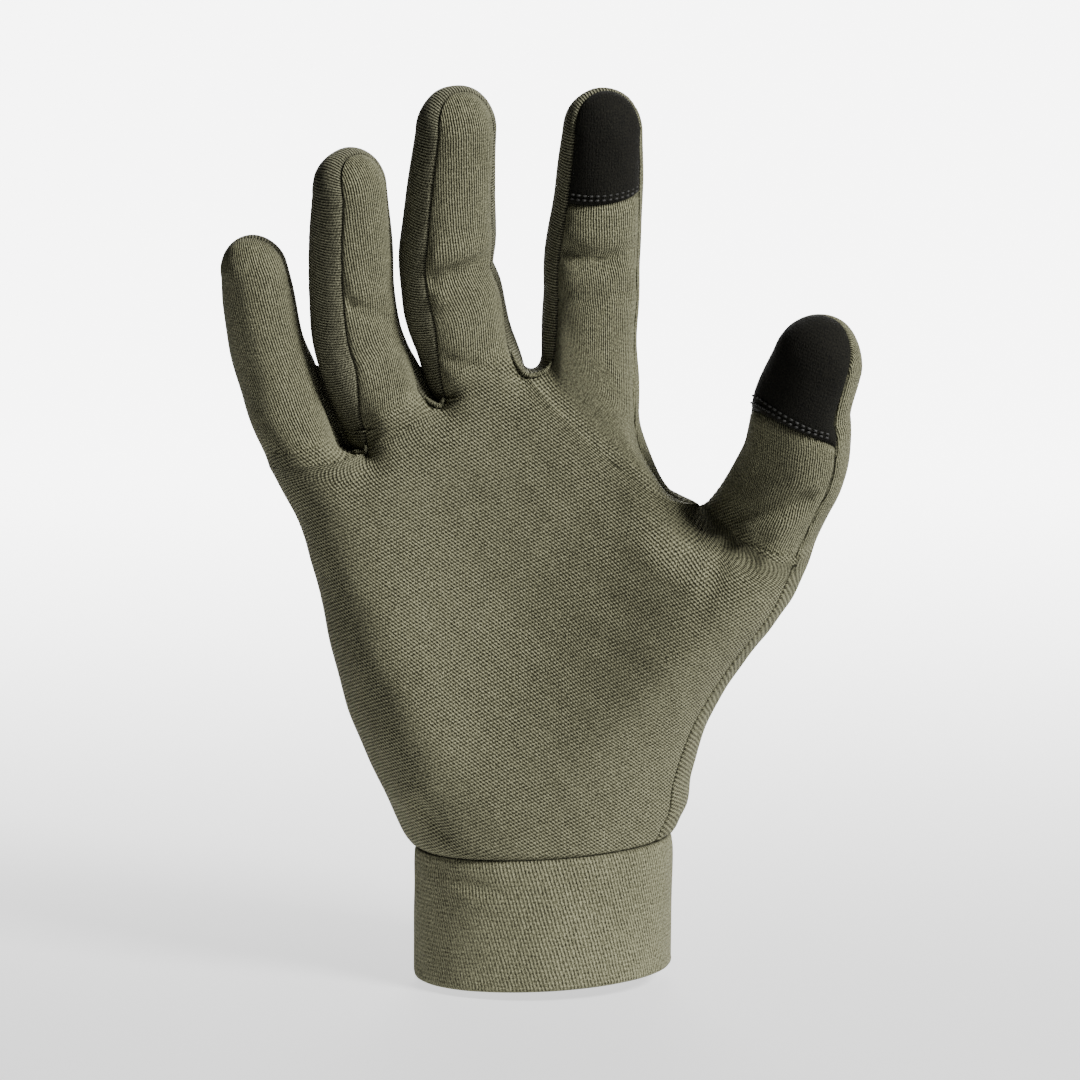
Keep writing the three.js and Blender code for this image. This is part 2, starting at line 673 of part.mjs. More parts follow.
const glove = new THREE.Group();
const add = (name, geometry, material) => {
  const mesh = new THREE.Mesh(geometry, material);
  mesh.name = name;
  glove.add(mesh);
};
add("palm_panel", handPanel(1), oliveKnit);
add("back_panel", handPanel(-1), oliveKnit);
add("fourchette_little_ring", fourchette("little"), oliveKnit);
add("fourchette_ring_middle", fourchette("ring"), oliveKnit);
add("fourchette_middle_index", fourchette("middle"), oliveKnit);
add("index_touch_tip", touchTip("index"), touchCloth);
add("thumb_touch_tip", touchTip("thumb"), touchCloth);
add("cuff_band", cuffBand(), oliveRib);

export default glove;
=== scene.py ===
# %% [markdown]
# # A knit glove liner
# A glove liner is a thin jersey glove that goes under a heavier one. This one is filled out as a hand fills
# it, with its palm towards the camera and its cuff at the bottom. A maker cuts it as a palm, a back, three
# narrow strips that run between the fingers and over their tips, two dark touch tips and a cuff that is
# folded double.
#
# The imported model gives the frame, in metres, with the cuff's opening at the origin. Each cloth panel here
# replaces the plain solid of the same name and follows the same formulas, only with a finer grid, a rolled
# edge at every seam, and the folds and puckers of real cloth.

import math

import bpy
import numpy as np
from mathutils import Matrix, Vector


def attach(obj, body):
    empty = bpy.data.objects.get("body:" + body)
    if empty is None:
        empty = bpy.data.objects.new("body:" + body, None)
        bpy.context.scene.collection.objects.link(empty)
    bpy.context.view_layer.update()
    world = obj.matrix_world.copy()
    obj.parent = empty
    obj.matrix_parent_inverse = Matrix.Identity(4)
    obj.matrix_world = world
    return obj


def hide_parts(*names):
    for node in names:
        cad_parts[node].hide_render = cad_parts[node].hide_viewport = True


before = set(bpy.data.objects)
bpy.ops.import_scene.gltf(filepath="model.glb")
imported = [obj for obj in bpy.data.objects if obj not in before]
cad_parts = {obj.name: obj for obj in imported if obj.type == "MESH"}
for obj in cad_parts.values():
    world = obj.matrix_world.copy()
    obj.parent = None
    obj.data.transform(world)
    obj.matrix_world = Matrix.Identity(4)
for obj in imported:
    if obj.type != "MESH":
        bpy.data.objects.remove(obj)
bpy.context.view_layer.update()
MM = 0.001
print("frame loaded with", len(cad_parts), "nodes")

# %% [markdown]
# ## Sizes
# These are the glove's own sizes in millimetres. Everything that follows is worked out from them.

# %% Sizes in millimetres
CUFF_WIDTH, CUFF_DEPTH, CUFF_HEIGHT, CUFF_WALL = 64.0, 42.0, 33.5, 2.4
CUFF_TILT = math.radians(3)
PALM_LENGTH, PALM_SPAN = 116.0, 125.0
PALM_FRONT, PALM_BACK = 14.5, 14.0
THUMB_FORWARD, LITTLE_FORWARD, SEAM_FROM_EDGE = 11.0, 5.0, 4.4
WALL = 1.2
SEAM_GAP = 0.12
LITTLE, RING, MIDDLE, INDEX, THUMB = range(5)


def columns(names, rows):
    """A table as one array for each of its named columns."""
    return {name: np.array([row[i] for row in rows], float) for i, name in enumerate(names.split())}


# %% [markdown]
# A hand has no straight lines, but it needs few numbers. Each table holds a row for each place where the
# outline turns, as shares of the sizes above, and a smooth curve is drawn through them.

# %% The palm's outline and thickness
outline = columns("up little thumb", [
    [0.03, -0.274, 0.269],
    [0.066, -0.29, 0.284],
    [0.131, -0.318, 0.292],
    [0.262, -0.372, 0.33],
    [0.393, -0.407, 0.394],
    [0.522, -0.431, 0.474],
    [0.612, -0.45, 0.51],
    [0.719, -0.484, 0.54],
    [0.847, -0.548, 0.58],
    [1.0, -0.6, 0.62],
])
palm_outline = {
    "up": np.append(0, outline["up"]),
    "little": np.append(-CUFF_WIDTH / 2, outline["little"] * PALM_SPAN),
    "thumb": np.append(CUFF_WIDTH / 2, outline["thumb"] * PALM_SPAN),
}
body = columns("up front back rim", [
    [0.13, 1.4, 1.34, 0.42],
    [0.3, 1.26, 1.14, 0.3],
    [0.5, 1.08, 1.02, 0.19],
    [0.75, 0.94, 0.98, 0.13],
    [1.0, 0.88, 0.88, 0.12],
])
palm_body = {
    "up": np.append(0, body["up"]),
    "front": np.append(CUFF_DEPTH / 2, body["front"] * PALM_FRONT),
    "back": np.append(CUFF_DEPTH / 2, body["back"] * PALM_BACK),
    "rim": np.append(0.5, body["rim"]),
}
# Swellings and hollows: which face, where, how wide and tall, the lean in degrees and the rise.
palm_forms = [
    (1, 0.235, 0.45, 0.15, 0.27, 32, 0.56),
    (1, -0.27, 0.3, 0.12, 0.24, -12, 0.3),
    (1, -0.05, 0.52, 0.17, 0.2, 10, -0.24),
    (1, -0.22, 0.82, 0.2, 0.07, -24, 0.14),
    (-1, -0.14, 0.78, 0.34, 0.12, -12, 0.18),
    (1, -0.3, 0.13, 0.06, 0.04, 0, 0.2),
    (1, 0.335, 0.62, 0.02, 0.075, 24, -0.16),
    (1, 0.4, 0.66, 0.025, 0.08, 30, -0.14),
]
# Where two digits part, how far the back's point is shifted and dropped, and how round and dented it is.
CROTCH = "across up middle front back shift drop round dent".split()
crotches = [dict(zip(CROTCH, row)) for row in [
    (-0.341, 0.85, -0.24, 0.5, 0.55, -0.36, 0.2, 0.28, 0.6),
    (-0.199, 0.945, -0.1, 0.57, 0.58, -0.17, 0.1, 0.26, 0.6),
    (-0.034, 1.012, -0.03, 0.6, 0.62, -0.03, 0.14, 0.45, 0.7),
    (0.306, 0.728, -0.12, 0, 0, 0, 0, 1.7, 1.25),
]]
CUFF_LINES = [-0.32, -0.15, 0.03, 0.22]
EDGE_TOPS = (0.81, 0.635)

# %% [markdown]
# ## Digits
# A finger is a tube whose oval section drifts sideways at the knuckles and forwards as it bends. Its seams
# don't sit at its sides: the cloth turns round the finger a little, which shows as a side strip that is wide
# on the left of each finger and hidden on its right. `root_roll` and `roll` are that turn at its two ends.
#
# `left` and `right` hold a seam's angle in front and behind, in degrees from the front, and the share of the
# length at which the upper rows begin, which is also the touch tips' hem. `tip` is the round tip's height as
# a share of the width, and `crown` turns the front seam back over it. `meet` is where on the tip a strip
# ends, and `taper` where a strip that serves one side only has run out, both in degrees from the right side.
# `bow` arches the hem, and `sag` lowers the digit's foot on the palm.

# %% The digits' sections and seams
SECTION = "along side forward wide thick"
digits = [
    dict(length=44.5, width=18.4, across=-0.464, up=0.862, depth=-0.28, lean=-13.8, root_roll=-10, roll=0,
         tip=0.47, crown=0, bow=0, sag=0, left=(100, 100, 0.6), right=(80, 150, 0.6), meet=180, taper=180,
         sections=columns(SECTION, [
             [0, -0.08, 0, 1.11, 1.12],
             [0.3, -0.105, 0.04, 1.03, 1.0],
             [0.58, -0.11, 0.11, 0.98, 0.93],
             [0.83, -0.05, 0.2, 0.95, 0.89],
             [1, 0, 0.27, 0.87, 0.82]])),
    dict(length=57.8, width=21, across=-0.292, up=0.913, depth=-0.14, lean=-9, root_roll=10, roll=40,
         tip=0.47, crown=25, bow=0, sag=0, left=(45, 125, 0.6), right=(45, 120, 0.6), meet=45, taper=None,
         sections=columns(SECTION, [
             [0, -0.03, 0, 1.04, 1.08],
             [0.13, -0.115, 0.01, 1.07, 1.04],
             [0.34, -0.23, 0.05, 1.08, 0.96],
             [0.53, -0.205, 0.12, 1.05, 0.92],
             [0.78, -0.105, 0.22, 1.0, 0.86],
             [1, 0, 0.31, 0.89, 0.8]])),
    dict(length=64, width=22.6, across=-0.124, up=0.974, depth=-0.06, lean=-4.5, root_roll=0, roll=27,
         tip=0.46, crown=25, bow=0, sag=0, left=(49, 128, 0.6), right=(50, 120, 0.6), meet=45, taper=None,
         sections=columns(SECTION, [
             [0, 0.025, 0, 1.03, 1.06],
             [0.18, -0.115, 0.01, 1.06, 1.0],
             [0.35, -0.2, 0.04, 1.12, 0.96],
             [0.47, -0.235, 0.085, 1.04, 0.9],
             [0.58, -0.19, 0.12, 1.045, 0.9],
             [0.76, -0.12, 0.19, 0.95, 0.84],
             [1, 0, 0.27, 0.87, 0.78]])),
    dict(length=67, width=22.6, across=0.092, up=0.94, depth=-0.06, lean=2, root_roll=6, roll=14,
         tip=0.46, crown=26, bow=0, sag=0.05, left=(58, 135, 0.771), right=(60, 60, 0.803), meet=0, taper=0,
         sections=columns(SECTION, [
             [0, 0, 0, 1.04, 1.06],
             [0.23, -0.04, 0.01, 1.03, 0.98],
             [0.41, -0.04, 0.035, 1.04, 0.92],
             [0.5, -0.05, 0.06, 1.04, 0.9],
             [0.61, -0.035, 0.085, 1.01, 0.88],
             [0.78, -0.01, 0.135, 0.94, 0.84],
             [1, 0.005, 0.2, 0.86, 0.78]])),
    dict(length=46, width=25, across=0.4, up=0.681, depth=-0.72, lean=18.2, root_roll=-34, roll=-30,
         tip=0.47, crown=20, bow=0.08, sag=0, left=(75, 75, 0.69), right=(70, 70, 0.63),
         meet=None, taper=None,
         sections=columns(SECTION, [
             [0, 0.115, 0, 1.13, 0.98],
             [0.26, 0.135, 0.08, 1.06, 0.9],
             [0.45, 0.145, 0.15, 1.05, 0.86],
             [0.61, 0.09, 0.21, 1.02, 0.84],
             [0.77, 0.01, 0.27, 0.96, 0.82],
             [1, 0, 0.35, 0.88, 0.76]])),
]
ROLLED_BY = 0.35
for digit in digits:
    digit["lean"] = math.radians(digit["lean"])
print("digits:", len(digits))

# %% [markdown]
# ## Small curves
# Three curves do all the blending. `ease` starts and ends level. `fillet` starts upright, as the foot of a
# round fillet does, and gives the U between two fingers. `read` runs a smooth curve through a table.

# %% Blending curves


def mix(a, b, share):
    return a + (b - a) * share


def ease(share):
    """3s^2 - 2s^3 with s held between 0 and 1."""
    s = np.clip(share, 0, 1)
    return s * s * (3 - 2 * s)


def fillet(share):
    """The height of a quarter circle: the root of 1 - (1 - s)^2."""
    return np.sqrt(1 - (1 - np.clip(share, 0, 1)) ** 2)


def read(rows, key, column, at):
    """A cubic through the table's points, each slope that of its two neighbours, level past both ends."""
    x, y = rows[key], rows[column]
    low, high = np.maximum(np.arange(len(x)) - 1, 0), np.minimum(np.arange(len(x)) + 1, len(x) - 1)
    slope = (y[high] - y[low]) / (x[high] - x[low])
    at = np.clip(at, x[0], x[-1])
    i = np.clip(np.searchsorted(x, at, side="right") - 1, 0, len(x) - 2)
    step = x[i + 1] - x[i]
    t = (at - x[i]) / step
    return (y[i] * (1 + 2 * t) * (1 - t) ** 2 + slope[i] * step * t * (1 - t) ** 2
            + y[i + 1] * t * t * (3 - 2 * t) - slope[i + 1] * step * t * t * (1 - t))


def points(x, y, z):
    return np.stack(np.broadcast_arrays(x, y, z), axis=-1).astype(float)


def paired(a, b):
    """Both as arrays of the one shape that they spread to."""
    return np.broadcast_arrays(np.asarray(a, float), np.asarray(b, float))


# %% [markdown]
# ## The palm
# The palm is one surface of two parameters: `q` goes across it, by angle round its two rims and straight
# between them, and `z` goes up. At the cuff the rims meet, so the section is the cuff's own oval.

# %% The palm's surface


def palm_height(up):
    return CUFF_HEIGHT + up * PALM_LENGTH


def across_of(q, rim):
    """Round the rims x = rim (1 - cos), and x = q between them."""
    left = rim * (1 - np.cos(math.pi / 2 * q / rim))
    right = 1 - rim * (1 - np.cos(math.pi / 2 * (1 - q) / rim))
    return np.where(q < rim, left, np.where(q > 1 - rim, right, q))


def q_of(across, rim):
    a = np.clip(across, 0, 1)
    left = rim * np.arccos(np.clip(1 - a / rim, -1, 1)) / (math.pi / 2)
    right = 1 - rim * np.arccos(np.clip(1 - (1 - a) / rim, -1, 1)) / (math.pi / 2)
    return np.where(a < rim, left, np.where(a > 1 - rim, right, a))


def palm_section(z, inset):
    up = (z - CUFF_HEIGHT) / PALM_LENGTH
    little = read(palm_outline, "up", "little", up) + inset
    thumb = read(palm_outline, "up", "thumb", up) - inset
    front = read(palm_body, "up", "front", up) - inset
    back = read(palm_body, "up", "back", up) - inset
    return little, thumb - little, front, back, read(palm_body, "up", "rim", up)


def palm_middle(x, z):
    """The middle surface comes forward at both edges, as a cupped hand does."""
    up = (z - CUFF_HEIGHT) / PALM_LENGTH
    thumb = ease((x / PALM_SPAN - 0.12) / 0.34) * ease((up - 0.1) / 0.5)
    little = ease((-x / PALM_SPAN - 0.12) / 0.36) * ease((up - 0.2) / 0.5)
    return -THUMB_FORWARD * thumb - LITTLE_FORWARD * little


def palm_form(face, x, z):
    """The sum of bell curves, each turned by its lean."""
    total = np.zeros(np.broadcast(x, z).shape)
    tall_share = PALM_LENGTH / PALM_SPAN
    for side, across, up, wide, tall, lean, rise in palm_forms:
        if side != face:
            continue
        dx = x / PALM_SPAN - across
        dz = ((z - CUFF_HEIGHT) / PALM_LENGTH - up) * tall_share
        turn = math.radians(lean)
        u = (dx * math.cos(turn) - dz * math.sin(turn)) / wide
        v = (dx * math.sin(turn) + dz * math.cos(turn)) / (tall * tall_share)
        total = total + rise * PALM_FRONT * np.exp(-u * u - v * v)
    return total


def crotch_point(k, face, inset):
    c = crotches[k]
    half = c["front"] * PALM_FRONT if face > 0 else c["back"] * PALM_BACK
    behind = 0 if face > 0 else 1
    return np.array([c["across"] * PALM_SPAN + behind * c["shift"] * PALM_FRONT,
                     c["middle"] * PALM_FRONT - face * max(half - inset, 0),
                     palm_height(c["up"]) - behind * c["drop"] * PALM_FRONT - inset])


def palm_point(face, q, z, inset):
    """The palm side (face 1) or the back (face -1). q past 1 goes round the thumb edge to the other side."""
    little, span, front, back, rim = palm_section(z, inset)
    side = np.where(q > 1, -face, face)
    within = np.where(q > 1, 2 - q, q)
    x = little + span * across_of(within, rim)
    rise = np.sin(math.pi / 2 * np.minimum(1, np.minimum(within / rim, (1 - within) / rim)))
    form = np.where(side > 0, palm_form(1, x, z), palm_form(-1, x, z))
    y = palm_middle(x, z) - side * rise * (np.where(side > 0, front, back) + form)
    for k in range(len(crotches)):
        for each in (1, -1):
            end = crotch_point(k, each, inset)
            reach = np.clip(np.hypot(end[0] - x, end[2] - z) / (crotches[k]["dent"] * PALM_FRONT), 0, 1)
            y = np.where(side == each, mix(y, end[1], (1 - reach) ** 2), y)
    return points(x, y, z)


def palm_line(face, line, share, inset):
    """The lines from the cuff to the crotches that the palm is divided by."""
    if line == 0:
        return np.zeros_like(share), mix(CUFF_HEIGHT, palm_height(EDGE_TOPS[0]), share)
    if line == len(digits):
        z = mix(CUFF_HEIGHT, palm_height(EDGE_TOPS[1]), share)
        _, span, _, _, rim = palm_section(z, inset)
        q = q_of(1 - max(SEAM_FROM_EDGE - inset, 0) / span, rim)
        return (q if face > 0 else 2 - q), z
    end = crotch_point(line - 1, face, inset)
    x = mix(CUFF_LINES[line - 1] * CUFF_WIDTH, end[0], share)
    z = mix(CUFF_HEIGHT, end[2], share)
    little, span, _, _, rim = palm_section(z, inset)
    return q_of((x - little) / span, rim), z


def palm_strip(face, strip, share, b, inset):
    """The part of the palm under one digit: share goes from the cuff to the digit, b from -1 to 1 across."""
    share, b = paired(share, b)
    q0, z0 = palm_line(face, strip, share, inset)
    q1, z1 = palm_line(face, strip + 1, share, inset)
    across = (b + 1) / 2
    z = mix(z0, z1, across) - digits[strip]["sag"] * PALM_LENGTH * (1 - b * b) * share ** 2
    p = palm_point(face, mix(q0, q1, across), z, inset)
    p[..., 2] += p[..., 0] * math.tan(CUFF_TILT) * (1 - share)
    return p


# %% [markdown]
# ## The digits' surface
# Each digit is a tube round its spine, closed by half an ellipsoid. Near its root the tube is pulled onto
# the palm's edge, and the pull fades along the finger: quickly and roundly at a crotch, slowly elsewhere.

# %% Tubes and round tips


def spine(d, along):
    share = along / d["length"]
    side = read(d["sections"], "along", "side", share) * d["width"]
    x = d["across"] * PALM_SPAN + along * math.sin(d["lean"]) + side * math.cos(d["lean"])
    y = d["depth"] * PALM_FRONT - read(d["sections"], "along", "forward", share) * d["length"]
    z = palm_height(d["up"]) + along * math.cos(d["lean"]) - side * math.sin(d["lean"])
    return points(x, y, z)


def unit(v):
    return v / np.maximum(np.linalg.norm(v, axis=-1, keepdims=True), 1e-12)


# The share of a digit's length from which it turns towards its tip.
STRAIGHTENS_FROM = 0.8


def digit_frame(d, along):
    """Tangent by difference, front as near -Y as it can be, and both turned by the roll.

    The round tip stands a little straighter than the bent spine, so the last fifth turns towards it.
    """
    half = 0.01 * d["length"]
    inside = np.minimum(along, d["length"] - half)
    end = np.full(np.shape(along), float(d["length"]))
    bent = unit(spine(d, inside + half) - spine(d, inside - half))
    straight = unit(spine(d, end + half) - spine(d, end - half))
    turned = ease((along / d["length"] - STRAIGHTENS_FROM) / (1 - STRAIGHTENS_FROM))
    tangent = unit(mix(bent, straight, turned[..., None]))
    front = unit(np.array([0.0, -1.0, 0.0]) + tangent * tangent[..., 1:2])
    right = np.cross(tangent, front)
    roll = np.radians(mix(d["root_roll"], d["roll"], ease(along / d["length"] / ROLLED_BY)))[..., None]
    return tangent, front * np.cos(roll) + right * np.sin(roll), right * np.cos(roll) - front * np.sin(roll)


def half_widths(d, share, inset):
    """Half the width and half the thickness of a digit's section."""
    return [read(d["sections"], "along", name, share) * d["width"] / 2 - inset for name in ("wide", "thick")]


def tube_point(d, along, angle, inset):
    along, angle = paired(along, angle)
    wide, thick = half_widths(d, along / d["length"], inset)
    _, front, right = digit_frame(d, along)
    return (spine(d, along) + right * (wide * np.sin(angle))[..., None]
            + front * (thick * np.cos(angle))[..., None])


def cap_point(d, azimuth, angle, inset):
    azimuth, angle = paired(azimuth, angle)
    end = np.full(azimuth.shape, float(d["length"]))
    wide, thick = half_widths(d, 1.0, inset)
    tangent, front, right = digit_frame(d, end)
    return (spine(d, end) + right * (wide * np.cos(azimuth) * np.sin(angle))[..., None]
            + tangent * ((d["tip"] * d["width"] - inset) * np.sin(azimuth) * np.sin(angle))[..., None]
            + front * (thick * np.cos(angle))[..., None])


def along_of(d, p):
    root = spine(d, np.array(0.0))
    return (p[..., 0] - root[0]) * math.sin(d["lean"]) + (p[..., 2] - root[2]) * math.cos(d["lean"])


# %% The start of each side of a digit


def side_start(i, side, face, inset):
    """Where a digit's side starts on one face, and the curve by which it leaves the palm's shape."""
    d = digits[i]
    line = i if side < 0 else i + 1
    if 1 <= line <= len(crotches):
        p = crotch_point(line - 1, face, inset)
        radius = crotches[line - 1]["round"] * PALM_FRONT
        return along_of(d, p), lambda run: fillet(run / radius)
    q, z = palm_line(face, line, np.array(1.0), inset)
    p = palm_point(face, q, z, inset)
    return along_of(d, p), lambda run: ease(run / d["width"])


# A power: the rows stand closer together at the crotches, where the surface turns most.
ROW_CROWDING = 1.9


def along_rows(t, start, stop, end):
    """t from 0 to 1 runs up to the stop, closer at its start, and from 1 to 2 on to the end."""
    low = mix(start, stop, np.clip(t, 0, 1) ** ROW_CROWDING)
    return np.where(t <= 1, low, mix(stop, end, t - 1))


def face_point(i, face, t, b, inset):
    """A digit's palm side or back. b goes from its left seam at -1 to its right seam at 1."""
    d = digits[i]
    t, b = paired(t, b)
    left, left_law = side_start(i, -1, face, inset)
    right, right_law = side_start(i, 1, face, inset)
    index = 0 if face > 0 else 1
    seam = np.where(b < 0, d["left"][index], d["right"][index])
    seam = np.radians(seam if face > 0 else 180 - seam) * b
    angle = seam if face > 0 else math.pi - seam
    across = (b + 1) / 2
    bow = d["bow"] * (1 - b * b) if face > 0 else 0
    start = mix(left, right, across) - d["sag"] * PALM_LENGTH * (1 - b * b)
    stop = (mix(d["left"][2], d["right"][2], across) + bow) * d["length"]
    along = along_rows(t, start, stop, d["length"])
    run = along - start
    near_left, near_right = (1 - across) ** 3, across ** 3
    freed = (near_left * left_law(run) + near_right * right_law(run)
             + (1 - near_left - near_right) * ease(run / d["width"]))
    shift = palm_strip(face, i, 1.0, b, inset) - tube_point(d, start, angle, inset)
    return tube_point(d, along, angle, inset) + shift * (1 - freed)[..., None]


# How quickly a strip that serves one side only widens, away from where it has run out.
WIDENING = 1.6


def cap_seam(i, azimuth, back):
    """The seam's angle on the round tip, going from the right side's to the left side's."""
    d = digits[i]
    share = ease(azimuth / math.pi)
    front = mix(d["right"][0], d["left"][0], share) + d["crown"] * np.sin(azimuth) ** 2
    if not back or d["meet"] is None:
        return np.radians(front)
    if d["taper"] is None:
        return np.radians(mix(d["right"][1], d["left"][1], share))
    full = d["left"][1] - d["left"][0] if d["taper"] == 0 else d["right"][1] - d["right"][0]
    open_share = np.abs(d["taper"] - np.degrees(azimuth)) / 180
    return np.radians(front + full * ease(open_share * WIDENING))


def cap_face_point(i, face, turn, b, inset, half):
    turn, b = paired(turn, b)
    azimuth = math.pi - turn * math.pi / 2 if half < 0 else turn * math.pi / 2
    seam = cap_seam(i, azimuth, False) if face > 0 else math.pi - cap_seam(i, azimuth, True)
    angle = np.abs(b) * seam
    return cap_point(digits[i], azimuth, angle if face > 0 else math.pi - angle, inset)


WEB_ARCH = 0.12


def web_point(k, v, inset):
    """The web between two fingers, arched a little upwards."""
    line = mix(crotch_point(k, 1, inset), crotch_point(k, -1, inset), v[..., None])
    line[..., 2] += WEB_ARCH * PALM_FRONT * np.sin(math.pi * v)
    return line


def side_point(i, side, t, v, inset):
    """The strip beside a finger. v goes from its front seam at 0 to its back seam at 1."""
    d = digits[i]
    t, v = paired(t, v)
    front, law = side_start(i, side, 1, inset)
    back, _ = side_start(i, side, -1, inset)
    seams = d["left"] if side < 0 else d["right"]
    angle = side * np.radians(mix(seams[0], seams[1], v))
    start = mix(front, back, v)
    along = along_rows(t, start, seams[2] * d["length"], d["length"])
    web = web_point(i + (-1 if side < 0 else 0), v, inset)
    shift = web - tube_point(d, start, angle, inset)
    return tube_point(d, along, angle, inset) + shift * (1 - law(along - start))[..., None]


def cap_side_point(i, azimuth, v, inset):
    azimuth, v = paired(azimuth, v)
    angle = mix(cap_seam(i, azimuth, False), cap_seam(i, azimuth, True), v)
    return cap_point(digits[i], azimuth, angle, inset)


# %% [markdown]
# ## Panels from patches
# A real panel is one flat cut of jersey. Here it is a set of grids, one for each strip of the palm, each
# digit and each round tip. Every grid also says how far each of its points is from the nearest seam, how
# far along that seam it is, and where it lies on the flat cloth in millimetres, which the stitches follow.

# %% Grids and their measures


def spread(count, ends=0.7):
    """Columns from -1 to 1, closer together at both ends, where the cloth turns into its seam."""
    b = np.linspace(-1, 1, count)
    return mix(b, np.sin(math.pi / 2 * b), ends)


def arc(p, axis):
    """Distance travelled along the grid from its first row or column."""
    step = np.linalg.norm(np.diff(p, axis=axis), axis=-1)
    total = np.cumsum(step, axis=axis)
    return np.concatenate([np.zeros_like(np.take(total, [0], axis=axis)), total], axis=axis)


def centred(p):
    """Distance along each row from its middle, negative to its left."""
    along_row = arc(p, 1)
    half = along_row[:, p.shape[1] // 2]
    return along_row - half[:, None]


class Panel:
    """One cut of cloth: its name and its grids, each with an outer skin, an inner skin and their measures."""

    def __init__(self, name):
        self.name, self.patches = name, []

    def patch(self, at, rows, cols, seam, run, palm_cloth, digit_cloth, digit):
        """at(rows, cols, inset) gives the surface. The other grids are measured in millimetres."""
        r, c = rows[:, None], cols[None, :]
        outer, inner = at(r, c, 0.0), at(r, c, WALL)
        shape = outer.shape[:2]
        values = [np.broadcast_to(v, shape).ravel() for v in
                  (seam, run, *palm_cloth, *digit_cloth, digit)]
        self.patches.append((outer, inner, np.stack(values, axis=-1)))


def grid_faces(rows, cols, start):
    ids = start + np.arange(rows * cols).reshape(rows, cols)
    return np.stack([ids[:-1, :-1], ids[:-1, 1:], ids[1:, 1:], ids[1:, :-1]], axis=-1).reshape(-1, 4)


def vertex_normals(p, quads):
    """The sum of the faces' area vectors round each point, made one long."""
    across = np.cross(p[quads[:, 2]] - p[quads[:, 0]], p[quads[:, 3]] - p[quads[:, 1]])
    total = np.zeros_like(p)
    for k in range(4):
        for axis in range(3):
            total[:, axis] += np.bincount(quads[:, k], across[:, axis], len(p))
    return unit(total)


def open_rim(quads, size):
    """A quad for each edge that has a face on one side only, down to the points size places further on."""
    edge_a = np.concatenate([quads[:, k] for k in range(4)])
    edge_b = np.concatenate([quads[:, (k + 1) % 4] for k in range(4)])
    real = edge_a != edge_b
    edge_a, edge_b = edge_a[real], edge_b[real]
    lone = ~np.isin(edge_a * size + edge_b, edge_b * size + edge_a)
    a, b = edge_a[lone], edge_b[lone]
    return np.stack([b, a, a + size, b + size], axis=-1)


# %% [markdown]
# ## Cloth on top of the plain form
# Three things turn a smooth solid into cloth. A seam pulls the cloth's edge inwards, so each panel ends in a
# small roll, and the thread gathers it into even little puckers. The cloth creases where the hand bends, and
# it is never quite even. All of them are heights along the surface's normal, in millimetres.

# %% Seams, creases and unevenness
ROLL, ROLL_DEPTH = 0.85, 0.62
SOFT_DIP, SOFT_REACH = 0.22, 2.0
PUCKER, PUCKER_PITCH, PUCKER_REACH = 0.1, 1.25, 1.1
CREASE_DEPTH = 2.1
# The distance given to a point that is near no seam.
FAR = 9.0

# Creases on the palm side: from x, z to x, z, how wide the crease is and how deep. Below zero it is a ridge.
palm_creases = [
    (-33, 173.6, -22, 175.4, 1.9, 0.72),
    (-19, 176.8, -11, 180.0, 1.9, 0.66),
    (-32, 178.6, -15, 182.4, 2.8, -0.45),
    (-26, 169.5, -12, 172.5, 2.6, -0.3),
    (5.5, 180.6, 16, 178.0, 1.5, 0.7),
    (14, 178.4, 26, 181.4, 1.6, 0.6),
    (6, 185.2, 24, 184.2, 2.4, -0.35),
    (7, 173.4, 22, 175.0, 2.6, -0.28),
    (-50, 170.2, -35, 163.8, 1.8, 0.55),
    (-48, 175.0, -35, 170.2, 2.6, -0.22),
    (-22, 154.4, -6, 150.8, 1.6, 0.42),
    (-27, 143.2, -12, 150.4, 1.5, 0.42),
    (-45, 134.6, -33, 138.4, 1.5, 0.26),
    (46, 117.5, 62, 123.6, 2.0, 0.62),
    (44, 113.2, 60, 118.4, 2.4, -0.35),
    (38, 117.2, 49, 108.0, 2.6, 0.45),
    (-31, 46.5, -24, 38.4, 1.6, 0.4),
]


def crease(x, z):
    """A bell across the line of each crease that fades past its two ends."""
    total = np.zeros(np.broadcast(x, z).shape)
    for x0, z0, x1, z1, wide, deep in palm_creases:
        line = np.array([x1 - x0, z1 - z0])
        length = np.hypot(*line)
        u = ((x - x0) * line[0] + (z - z0) * line[1]) / length
        v = ((z - z0) * line[0] - (x - x0) * line[1]) / length
        past = np.maximum(0, np.maximum(-u, u - length)) / (1.2 * wide)
        total -= CREASE_DEPTH * deep * np.exp(-(v / wide) ** 2 - past ** 2)
    return total


def uneven(p):
    """Slow waves in three directions that never repeat together."""
    x, y, z = p[:, 0], p[:, 1], p[:, 2]
    return (0.16 * np.sin(x / 5.3 + np.sin(z / 7.1) * 1.3) * np.sin(z / 6.2 + y / 9.0)
            + 0.1 * np.sin(x / 2.7 - z / 3.9 + np.sin(y / 4.0)) + 0.06 * np.sin(x / 1.7 + z / 2.3 + y / 1.9))


def seam_height(seam, run):
    """A quarter-round roll, a soft dip beyond it and even puckers that fade with the distance."""
    roll = ROLL_DEPTH * (1 - fillet(seam / ROLL))
    gather = np.cos(2 * math.pi * run / PUCKER_PITCH + 1.1 * np.sin(run / 2.3))
    return (-roll - SOFT_DIP * np.exp(-(seam / SOFT_REACH) ** 2)
            + PUCKER * gather * np.exp(-(seam / PUCKER_REACH) ** 2) * ease(seam / 0.25 + 0.35))


